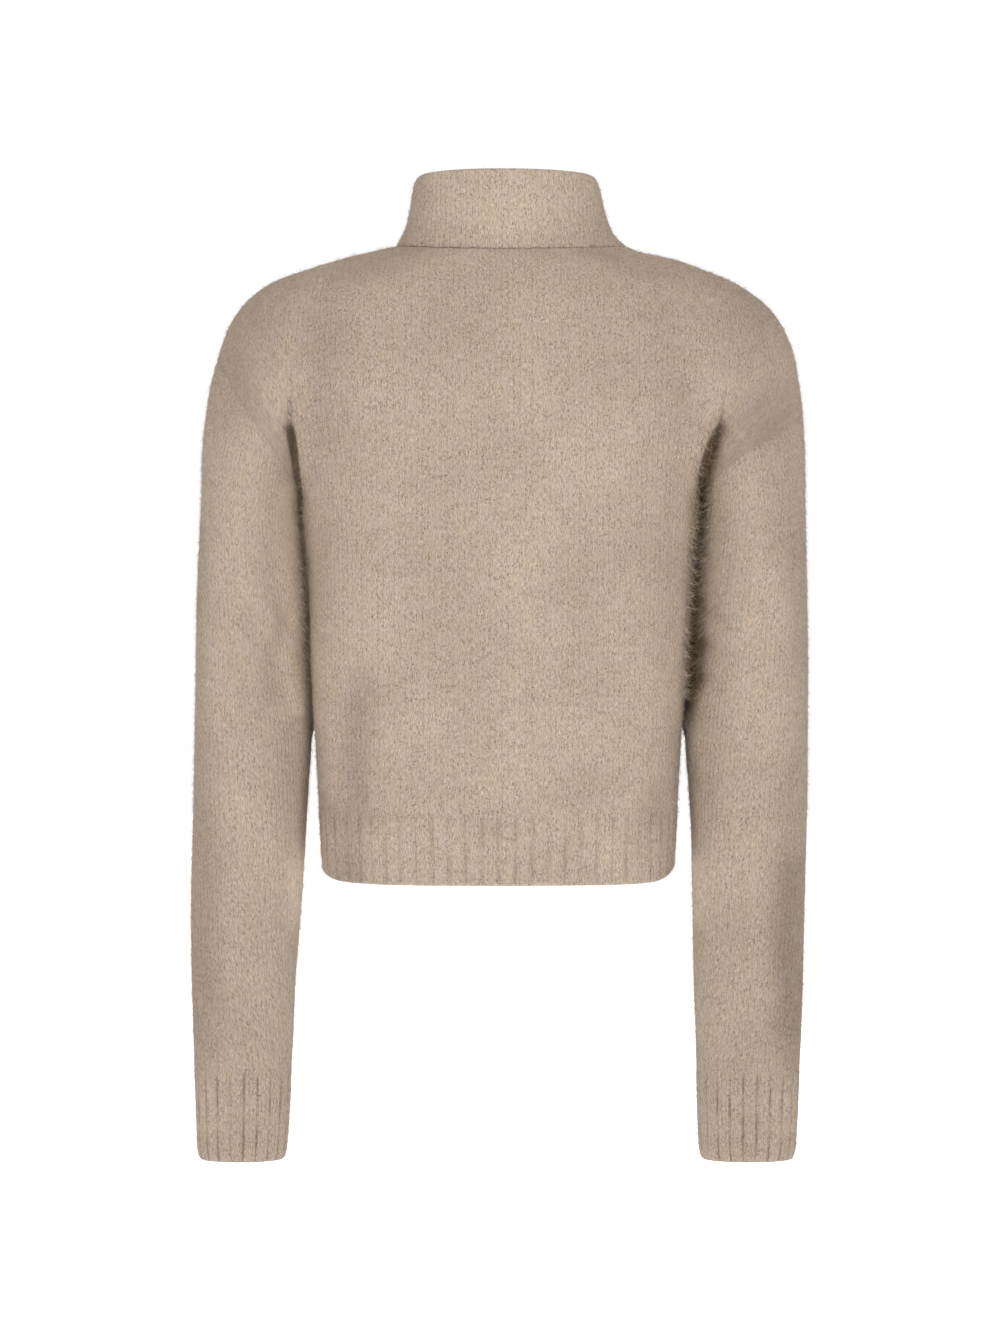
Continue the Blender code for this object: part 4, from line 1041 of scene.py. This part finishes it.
def knit_material(name, warm, cool, wale=WALE):
    material, tree, shader = new_material(name)
    uv = node(tree, "UVMap", {"uv_map": "cloth"})
    in_mm = node(tree, "Mapping", Vector=uv, Scale=(1000, 1000, 1000))
    # Grain: fibres brushed along the columns, as fine as the render can show
    stretched = node(tree, "Mapping", Vector=in_mm, Scale=(1 / GRAIN_WIDTH, 1 / GRAIN_LENGTH, 1))
    grain = node(tree, "TexNoise", PLANE, Vector=stretched, Scale=1.0, Detail=3.0, Roughness=0.6)
    grain_tone = node(tree, "MapRange", Value=grain, i1=0.28, i2=0.72, i3=0.68, i4=1.26)
    # Gaps between stitches: dark dots in loose rows, coarser than real ones so that they show
    cells = node(tree, "Mapping", Vector=in_mm, Scale=(1 / GAP_PITCH, 0.8 / GAP_PITCH, 1))
    gap = node(tree, "TexVoronoi", {"voronoi_dimensions": "2D"}, Vector=cells, Scale=1.0, Randomness=1.0)
    gap_tone = node(tree, "MapRange", SOFT_STEP, Value=gap, i1=0.08, i2=0.28, i3=0.56, i4=1.0)
    # Columns of stitches, drawn out of true by the brushing and lost in places
    wobble = node(tree, "TexNoise", PLANE, Vector=in_mm, Scale=0.06, Detail=2.0)
    split = node(tree, "SeparateXYZ", Vector=in_mm)
    across = node(tree, "Math", {"operation": "MULTIPLY_ADD"}, i0=wobble, i1=2.4, i2=split)
    column = node(tree, "Math", {"operation": "PINGPONG"}, i0=across, i1=wale / 2)
    valley = node(tree, "MapRange", SOFT_STEP, Value=column, i1=0.0, i2=wale / 4)
    shown = node(tree, "TexNoise", PLANE, Vector=in_mm, Scale=0.11, Detail=1.0)
    strength = node(tree, "MapRange", Value=shown, i1=0.35, i2=0.65, i3=1.0, i4=0.88)
    wale_tone = node(tree, "Mix", {"data_type": "FLOAT"}, Factor=valley, A=strength, B=1.0)
    # Where the pile is thick it covers the gaps
    thin = node(tree, "MapRange", Value=shown, i1=0.40, i2=0.60, i3=0.25, i4=1.15)
    gaps_shown = node(tree, "Mix", {"data_type": "FLOAT"} | UNCLAMPED, Factor=thin, A=1.0, B=gap_tone)
    # Cloudy patches where the two shades of yarn and the lay of the pile differ
    patches = node(tree, "TexNoise", PLANE, Vector=in_mm, Scale=1 / PATCH, Detail=3.0, Roughness=0.6)
    shade = node(tree, "MapRange", Value=patches, i1=0.3, i2=0.7)
    yarn = node(tree, "Mix", OF_COLOURS, Factor=shade, i6=linear(warm), i7=linear(cool))
    drift = node(tree, "TexNoise", PLANE, Vector=in_mm, Scale=0.013, Detail=2.0)
    drift_tone = node(tree, "MapRange", Value=drift, i1=0.3, i2=0.7, i3=0.94, i4=1.06)
    # Sewn edges: a thin line, broken where the pile lies over it
    seam = node(tree, "Attribute", {"attribute_name": "seam"}).outputs["Fac"]
    line = node(tree, "Math", {"operation": "POWER"}, i0=seam, i1=2.2)
    dashes = node(tree, "TexNoise", PLANE, Vector=in_mm, Scale=0.16, Detail=2.0, Roughness=0.7)
    covered = node(tree, "MapRange", Value=dashes, i1=0.42, i2=0.60, i3=0.0, i4=0.75)
    line_dark = node(tree, "Math", {"operation": "MULTIPLY"}, i0=line, i1=covered)
    line_tone = node(tree, "Math", {"operation": "SUBTRACT"}, i0=1.0, i1=line_dark)
    factor = grain_tone
    for tone in (gaps_shown, wale_tone, drift_tone, line_tone):
        factor = node(tree, "Math", {"operation": "MULTIPLY"}, i0=factor, i1=tone)
    colour = node(tree, "VectorMath", {"operation": "SCALE"}, i0=yarn, Scale=factor)
    # Painted shade: where the stored tone is low the colour turns to a warm brown, as light reaches
    # shade only off other yarn; above 1 it turns paler, as painted light
    depth = node(tree, "Attribute", {"attribute_name": "tone"}).outputs["Fac"]
    deep = node(tree, "Mix", OF_COLOURS | UNCLAMPED, Factor=depth, i6=linear("#281507"), i7=colour)
    height = node(tree, "Math", {"operation": "MULTIPLY_ADD"}, i0=grain, i1=1.6, i2=valley)
    bump = node(tree, "Bump", Strength=0.45, Distance=0.0009, Height=height)
    fill(shader, Base_Color=deep, Normal=bump, Roughness=0.95, Specular_IOR_Level=0.12, Sheen_Weight=0.06,
         Sheen_Roughness=0.6, Sheen_Tint=linear("#E6DACA"))
    return material


JERSEY = knit_material("brushed_jersey", "#AC9D8D", "#AB9F93")
RIB = knit_material("brushed_rib_knit", "#AC9D8D", "#AB9F93", wale=3.6)
print("stitch columns every", WALE, "mm, gaps every", GAP_PITCH, "mm")


# %% [markdown]
# ## Dressing the pieces
# Each shell takes the place of its solid and moves with the garment's one body. Ribs are knitted of
# the same yarn in narrower columns, so they have a material of their own.

# %% Dress the pieces
for node_name, piece in pieces.items():
    ribbed = node_name.startswith(("cuff", "hem"))
    piece.data.materials.append(RIB if ribbed else JERSEY)
    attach(piece, "cardigan")
    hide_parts(node_name)
print("dressed", ", ".join(pieces))


# %% [markdown]
# ## The brushed pile
# Brushing pulls fibre ends out of the yarn. They soften the outline and lie lightly over the surface,
# pointing mostly down. Blender's hair is one way, but these fibres must be plain meshes that export,
# so each is a ribbon of two faces that curves to a point. Real fibres are 0.02 mm thick and far
# denser; these are ten times as wide so that they show.

# %% Fibres
FIBRE_DENSITY = 0.155
FIBRE_LENGTH = (2.2, 3.2, 6.5)
STRAY_LENGTH = {"left": (3.0, 5.0, 9.0), "right": (5.0, 8.0, 15.0)}
STRAY_DENSITY = {"left": 0.25, "right": 0.34}
FIBRE_WIDTH = 0.22
MIDDLE_WIDTH = 0.8
ROOT_DEPTH = 0.25
# Pull of the brushing downwards and the curl of the outer half, against a random lie of 1
FIBRE_FALL = 0.9
FIBRE_CURL = 0.45
# Lift off the cloth in degrees: least, most likely, and the most on the pile and on strays
LEAST_LIFT, COMMON_LIFT = 3, 12
PILE_LIFT = 48
STRAY_LIFT = 85


def unit(vectors):
    """Vectors scaled to length 1."""
    return vectors / np.maximum(np.linalg.norm(vectors, axis=1, keepdims=True), 1e-9)


def fibres(name, surface, area, density, lengths, highest, least_open=0.0):
    """Ribbons on a panel's outside, spread over the given areas of its faces, density a square mm.

    least_open is the least share of open cloth's paleness that they keep in deep painted shade."""
    count = int(area.sum() * density)
    face = surface["quads"][random.choice(len(area), count, p=area / area.sum())]
    s, t = random.random((2, count, 1))
    weights = [(1 - s) * (1 - t), s * (1 - t), s * t, (1 - s) * t]
    root = sum(surface["points"][face[:, i]] * weights[i] for i in range(4))
    normal = unit(sum(surface["normal"][face[:, i]] * weights[i] for i in range(4)))
    wild = random.normal(size=(count, 3)) - (0, 0, FIBRE_FALL)
    lie = unit(wild - normal * (wild * normal).sum(axis=1, keepdims=True))
    lift = np.radians(random.triangular(LEAST_LIFT, COMMON_LIFT, highest, (count, 1)))
    length = random.triangular(*lengths, (count, 1))
    start = unit(lie * np.cos(lift) + normal * np.sin(lift))
    curl = unit(start + random.normal(scale=FIBRE_CURL, size=(count, 3)) + normal * 0.1)
    middle = root + start * length * 0.5
    tip = middle + curl * length * 0.5
    side = unit(np.cross(start, random.normal(size=(count, 3)))) * FIBRE_WIDTH / 2
    root = root - normal * ROOT_DEPTH
    points = np.stack([root - side, root + side, middle + side * MIDDLE_WIDTH, middle - side * MIDDLE_WIDTH,
                       tip], axis=1)
    index = np.arange(count)[:, None] * 5
    faces = (index + (0, 1, 2, 3)).tolist() + (index + (3, 2, 4)).tolist()
    pile = mesh_object(name, points.reshape(-1, 3), faces)
    layer = pile.data.attributes.new("shade", "FLOAT", "POINT")
    # Painted shade: each fibre is darker where the cloth at its root is in painted shade, besides its random
    # paleness
    open_cloth = np.clip(1.3 * surface["tone"][face[:, 0]] - 0.3, least_open, 1)
    shade = random.random(count) * open_cloth - 0.5 * (1 - open_cloth)
    layer.data.foreach_set("value", np.repeat(shade, 5).astype(np.float32))
    return pile


# %% [markdown]
# ### Loose wool fibre
# Single fibres are paler than the yarn they come from, because light passes through them, with a few
# dark ones from the heather blend. They are as dull as the knit.

# %% Fibre material
def fibre_material():
    material, tree, shader = new_material("loose_wool_fibre")
    shade = node(tree, "Attribute", {"attribute_name": "shade"}).outputs["Fac"]
    # The shade attribute mixes the fibre's random paleness with painted shade; below 0 it runs darker than
    # the dark fibres
    tone = node(tree, "Mix", OF_COLOURS | UNCLAMPED, Factor=shade, i6=linear("#8E7F6C"), i7=linear("#CCC0B0"))
    fill(shader, Base_Color=tone, Roughness=0.9, Specular_IOR_Level=0.1)
    return material


FIBRE = fibre_material()
piles = {}
for node_name, surface in surfaces.items():
    pile = fibres("pile_" + node_name, surface, surface["area"], FIBRE_DENSITY, FIBRE_LENGTH, PILE_LIFT)
    piles[node_name] = [pile]

# %% [markdown]
# ### Stray hairs
# Long hairs that the brushing missed cross the underarm gaps, where they keep more of their paleness
# than the pile deep inside, which takes the full painted shade. They could be drawn in the material,
# but they stand off the cloth, so they are ribbons too.

# %% Strays in the gaps
STRAY_REACH = {"left": 6, "right": 9}
STRAY_HEIGHTS = (-360, -138)
STRAY_FROM_Y = -25
# The least paleness that strays keep against the painted shade of the gaps
STRAY_PALENESS = 0.3
for node_name, side in (("back", "left"), ("back", "right"), ("sleeve_left", "left"),
                        ("sleeve_right", "right")):
    surface = surfaces[node_name]
    x, y, z = surface["points"][surface["quads"]].mean(axis=1).T
    near = np.abs(x * SIDE_SIGN[side] - read(GAP_SHADE[side], "edge", z) - 3) < STRAY_REACH[side]
    near &= (z > STRAY_HEIGHTS[0]) & (z < STRAY_HEIGHTS[1]) & (y > STRAY_FROM_Y)
    piles[node_name].append(fibres(f"stray_{node_name}_{side}", surface, surface["area"] * near,
                                   STRAY_DENSITY[side], STRAY_LENGTH[side], STRAY_LIFT, STRAY_PALENESS))
total = 0
for group in piles.values():
    for pile in group:
        pile.data.materials.append(FIBRE)
        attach(pile, "cardigan")
        triangles = 3 * len(pile.data.polygons) // 2
        total += triangles
        print(pile.name, triangles, "triangles")
print("triangles in the pile", total)


# %% [markdown]
# ## The zip
# A separating zip has two woven tapes with a thick edge, and a row of metal teeth clamped on each.
# The rows mesh below the slider and part above it. The tapes could follow a curve object, but they
# are remade along the middle line of their own solids, so that slider and box still fit them.

# %% Zip: the line of the tapes
BOX_LIFT, BOX_HEIGHT, BOX_CLEARANCE = 1.5, 9.0, 1.0
BOX_TOP = HEM + BOX_LIFT + BOX_HEIGHT + BOX_CLEARANCE
SLIDER_MIDDLE = COLLAR_TOP_FRONT - 14.0
SLIDER_LOW = SLIDER_MIDDLE - 6.0
SLIDER_TOP = SLIDER_MIDDLE + 6.4
INNER_EDGE_WITHIN = 4.5
LEAST_ROW_STEP = 0.45


def tape_line(name):
    """The middle line of a CAD tape, in mm, read beside its inner edge and sorted by height."""
    corners = np.array([vertex.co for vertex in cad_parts[name].data.vertices]) / MM
    corners = corners[np.abs(corners[:, 0]) < INNER_EDGE_WITHIN]
    corners = corners[np.argsort(corners[:, 2])]
    split = np.flatnonzero(np.diff(corners[:, 2]) > LEAST_ROW_STEP) + 1
    return np.array([group.mean(axis=0) for group in np.split(corners, split)])


line = tape_line("zip_tape_left")
line_length = np.concatenate([[0], np.cumsum(np.linalg.norm(np.diff(line[:, 1:], axis=0), axis=1))])
print("tape line", round(line_length[-1]), "mm long, from z", line[0][2], "to", line[-1][2])


# %% Zip: tapes
TAPE_OUTER = 13.0
# Where the tape's inner edge lies beside the teeth, beside the box and above the slider
INNER_BY_TEETH, INNER_BY_BOX, INNER_OPEN = 0.7, 4.2, 2.6
TAPE_ROWS = 260
TAPE_END = 1.0
# Half thickness across the tape, from a thick beaded edge to plain weave
TAPE_PROFILE = table(
    "share half",
    [(0, 0.1), (0.06, 0.55), (0.14, 0.6), (0.22, 0.35), (0.3, 0.25), (0.5, 0.25), (0.75, 0.25), (1.0, 0.25)],
)


def on_line(distance):
    """Points in y and z along the tape line, and the unit normals that face forward there."""
    y, z = (np.interp(distance, line_length, line[:, i]) for i in (1, 2))
    before, after = (np.clip(distance + step, 0, line_length[-1]) for step in (-4, 4))
    run_y, run_z = (np.interp(after, line_length, line[:, i]) - np.interp(before, line_length, line[:, i])
                    for i in (1, 2))
    size = np.hypot(run_y, run_z)
    return y, z, -run_z / size, run_y / size


def tape_piece(side):
    """A closed tape: a ring of front and back points for each row, and two end faces."""
    distance = np.linspace(TAPE_END, line_length[-1] - TAPE_END, TAPE_ROWS)[:, None]
    y, z, normal_y, normal_z = on_line(distance)
    inner = np.where(z > SLIDER_TOP, INNER_OPEN, np.where(z < BOX_TOP + 1.0, INNER_BY_BOX, INNER_BY_TEETH))
    x = inner + (TAPE_OUTER - inner) * TAPE_PROFILE["share"]
    half = TAPE_PROFILE["half"]
    x = x * SIDE_SIGN[side]
    front, back = (np.stack([x, y + face * normal_y * half, z + face * normal_z * half], axis=-1)
                   for face in (1, -1))
    ring = np.concatenate([front, back[:, ::-1]], axis=1)
    rows, around = ring.shape[:2]
    index = np.arange(rows * around).reshape(rows, around)
    onward = np.roll(index, -1, axis=1)
    faces = np.stack([index[:-1], onward[:-1], onward[1:], index[1:]], axis=-1).reshape(-1, 4).tolist()
    faces += [index[0][::-1].tolist(), index[-1].tolist()]
    if SIDE_SIGN[side] < 0:
        faces = [face[::-1] for face in faces]
    return mesh_object("tape_" + side, ring.reshape(-1, 3), faces)


# %% [markdown]
# ### Teeth
# Each metal tooth is pressed round the tape's thick edge with two jaws, and has a head that the next
# tooth opposite catches behind. An Array modifier on a curve would do, but one outline repeated
# along the line gives plain meshes. Real teeth are about 2 mm apart, too fine to show here.

# %% Zip: teeth
TOOTH_PITCH = 3.5
TOOTH_THICK = 1.9
TOOTH_OUTLINE = [(0.0, -0.55), (0.55, -0.82), (1.05, -0.7), (1.5, -0.55), (2.9, -0.72), (3.6, -0.72),
                 (3.6, 0.72), (2.9, 0.72), (1.5, 0.55), (1.05, 0.7), (0.55, 0.82), (0.0, 0.55)]
# Height of each ring of a tooth, in half thicknesses, and how full its outline is there
TOOTH_RINGS = ((1.0, 0.82), (0.72, 1.0), (-0.72, 1.0), (-1.0, 0.82))
# Where a head starts, meshed and parted
HEAD_MESHED, HEAD_PARTED = -0.75, 1.9
SHARP_TOOTH = math.radians(40)


def teeth(side, offset):
    """One row of teeth, none of them inside the slider."""
    start = np.interp(BOX_TOP, line[:, 2], line_length) + 0.6
    distance = np.arange(start + offset * TOOTH_PITCH, line_length[-1] - 3.0, TOOTH_PITCH)
    z = on_line(distance)[1]
    distance = distance[(z < SLIDER_LOW) | (z > SLIDER_TOP + 0.8)]
    y, z, normal_y, normal_z = (value[:, None] for value in on_line(distance))
    outline = np.array(TOOTH_OUTLINE)
    centre = outline.mean(axis=0)
    points = []
    for face, swell in TOOTH_RINGS:
        half = TOOTH_THICK / 2 * face
        across, along = (centre + (outline - centre) * (0.94 + 0.06 * swell, swell)).T
        x = (np.where(z > SLIDER_TOP, HEAD_PARTED, HEAD_MESHED) + across) * SIDE_SIGN[side]
        points.append(np.stack([x, y + normal_y * half + normal_z * along,
                                z + normal_z * half - normal_y * along], axis=-1))
    corners, rings = len(outline), len(TOOTH_RINGS)
    turn = list(range(corners))
    one = [[low + i, low + (i + 1) % corners, low + corners + (i + 1) % corners, low + corners + i]
           for low in range(0, (rings - 1) * corners, corners) for i in turn]
    one += [turn[::-1], [(rings - 1) * corners + i for i in turn]]
    tooth = corners * rings
    faces = [[low + i for i in face] for low in range(0, len(distance) * tooth, tooth) for face in one]
    row = mesh_object("teeth_" + side, np.stack(points, axis=1).reshape(-1, 3), faces)
    row.data.set_sharp_from_angle(angle=SHARP_TOOTH)
    print(row.name, len(distance), "teeth")
    return row


# %% [markdown]
# ### Nickel plate and woven tape
# The slider, its tab, the box and the teeth are a zinc alloy with satin nickel plate: a warm grey
# metal whose fine tumbling marks blur its reflections. The tape is polyester in a herringbone weave,
# dyed to match the knit and a little darker and smoother than it.

# %% Zip materials
def nickel_material():
    material, tree, shader = new_material("satin_nickel_plate")
    coord = node(tree, "TexCoord").outputs["Object"]
    wear = node(tree, "TexNoise", Vector=coord, Scale=900.0, Detail=3.0)
    rough = node(tree, "MapRange", Value=wear, i3=0.40, i4=0.56)
    tone = node(tree, "Mix", OF_COLOURS, Factor=wear, i6=linear("#8E8A83"), i7=linear("#A6A29B"))
    fill(shader, Base_Color=tone, Roughness=rough, Metallic=1.0)
    return material


def tape_material():
    material, tree, shader = new_material("herringbone_polyester_tape")
    coord = node(tree, "TexCoord").outputs["Object"]
    in_mm = node(tree, "Mapping", Vector=coord, Scale=(1000, 1000, 1000))
    split = node(tree, "SeparateXYZ", Vector=in_mm)
    # Threads lean one way and then the other across the tape, 0.55 mm each
    slant = node(tree, "Math", {"operation": "PINGPONG"}, i0=split, i1=2.2)
    lean = node(tree, "Math", {"operation": "ADD"}, i0=slant, i1=split.outputs["Z"])
    thread = node(tree, "Math", {"operation": "PINGPONG"}, i0=lean, i1=0.55)
    raised = node(tree, "MapRange", SOFT_STEP, Value=thread, i1=0.0, i2=0.45)
    tone = node(tree, "Mix", OF_COLOURS, Factor=raised, i6=linear("#8F7D68"), i7=linear("#B3A18B"))
    bump = node(tree, "Bump", Strength=0.5, Distance=0.0003, Height=raised)
    fill(shader, Base_Color=tone, Normal=bump, Roughness=0.8)
    return material


NICKEL = nickel_material()
TAPE = tape_material()
for name in ("zip_slider", "zip_pull_tab", "zip_box"):
    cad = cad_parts[name]
    cad.data.materials.clear()
    cad.data.materials.append(NICKEL)
for side, offset in (("left", 0.0), ("right", 0.5)):
    tape = tape_piece(side)
    tape.data.materials.append(TAPE)
    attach(tape, "cardigan")
    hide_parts("zip_tape_" + side)
    row = teeth(side, offset)
    row.data.materials.append(NICKEL)
    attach(row, "cardigan")

# %% [markdown]

# %% [markdown]
# ## Floor
# The picture is a product shot on white. A backdrop could curve up behind, but from every side a
# plain pale floor far below is enough; it shines a little, so that its far edge is lost in the white.

# %% Floor
FLOOR_DROP = 0.25
FLOOR_SIZE = 14.0


def pale_floor():
    corners = [(-1, -1), (1, -1), (1, 1), (-1, 1)]
    height = CAD_BOUNDS[0][2] - FLOOR_DROP
    points = np.array([(x * FLOOR_SIZE, y * FLOOR_SIZE, height) for x, y in corners]) / MM
    floor = mesh_object("floor", points, [(0, 1, 2, 3)])
    material, tree, shader = new_material("pale_floor")
    coord = node(tree, "TexCoord").outputs["Object"]
    noise = node(tree, "TexNoise", Vector=coord, Scale=3.0)
    tone = node(tree, "Mix", OF_COLOURS, Factor=noise, i6=linear("#F5F5F4"), i7=linear("#F8F8F8"))
    fill(shader, Base_Color=tone, Roughness=0.9, Emission_Color=linear("#FFFFFF"), Emission_Strength=0.9)
    floor.data.materials.append(material)
    print("floor at", round(height, 3), "m")


pale_floor()

# %% [markdown]
# ## World and lights
# Soft light from the camera's side makes the middle of the back brightest, and the sides fall off
# gently. One light would do for one view; here a strong softbox in front and one behind, with a weak
# one at each side, shade every view alike. The world is white to the camera, and lights the knit
# with a low, warm fill.

# %% World and lights
FILL = 0.34
WARM_FILL = "#FFEDDA"
CENTRE = (0, 0, -0.33)
SOFTBOX_SIZE = 2.6
SOFTBOX_DISTANCE = 3.4
SOFTBOX_POWER = {0: 84, 90: 13, 180: 96, 270: 13}
SOFTBOX_HEIGHT = 1.8

world = bpy.data.worlds.new("studio")
world.use_nodes = True
tree = world.node_tree
seen = node(tree, "LightPath").outputs["Is Camera Ray"]
wall = node(tree, "Mix", OF_COLOURS, Factor=seen, i6=linear(WARM_FILL), i7=linear("#FFFFFF"))
strength = node(tree, "Math", {"operation": "MULTIPLY_ADD"}, i0=seen, i1=1.0 - FILL, i2=FILL)
fill(tree.nodes["Background"], Color=wall, Strength=strength)
SCENE.world = world
SCENE.view_settings.view_transform = "Standard"


def softbox(azimuth, power):
    """A square light at an azimuth counted from the front, aimed at the garment."""
    light = bpy.data.lights.new(f"softbox_{azimuth}", "AREA")
    light.shape = "SQUARE"
    light.size = SOFTBOX_SIZE
    light.energy = power
    thing = bpy.data.objects.new(light.name, light)
    turn = math.radians(azimuth)
    thing.location = (SOFTBOX_DISTANCE * math.sin(turn), -SOFTBOX_DISTANCE * math.cos(turn), SOFTBOX_HEIGHT)
    direction = Vector(CENTRE) - thing.location
    thing.rotation_euler = direction.to_track_quat("-Z", "Y").to_euler()
    SCENE.collection.objects.link(thing)


for azimuth, power in SOFTBOX_POWER.items():
    softbox(azimuth, power)
print("softboxes", SOFTBOX_POWER)

# %% [markdown]
# ## Camera
# The picture looks level at the back. Its scale, 0.8 mm a pixel at the garment, gives the frame's
# height, and a distance of 3.2 m gives the flat perspective of a long lens.

# %% Camera
PHOTO_HEIGHT = 1334
PIXEL = 0.0008
NECK_POINT_ROW = 247
CAMERA_DISTANCE = 3.2

camera_data = bpy.data.cameras.new("camera")
camera_data.sensor_fit = "VERTICAL"
camera_data.sensor_height = 24.0
camera_data.lens = camera_data.sensor_height * CAMERA_DISTANCE / (PHOTO_HEIGHT * PIXEL)
camera = bpy.data.objects.new("camera", camera_data)
camera.location = (0, CAMERA_DISTANCE, (NECK_POINT_ROW - PHOTO_HEIGHT / 2) * PIXEL)
camera.rotation_euler = (math.pi / 2, 0, math.pi)
SCENE.collection.objects.link(camera)
SCENE.camera = camera
print("lens", round(camera_data.lens, 1), "mm")
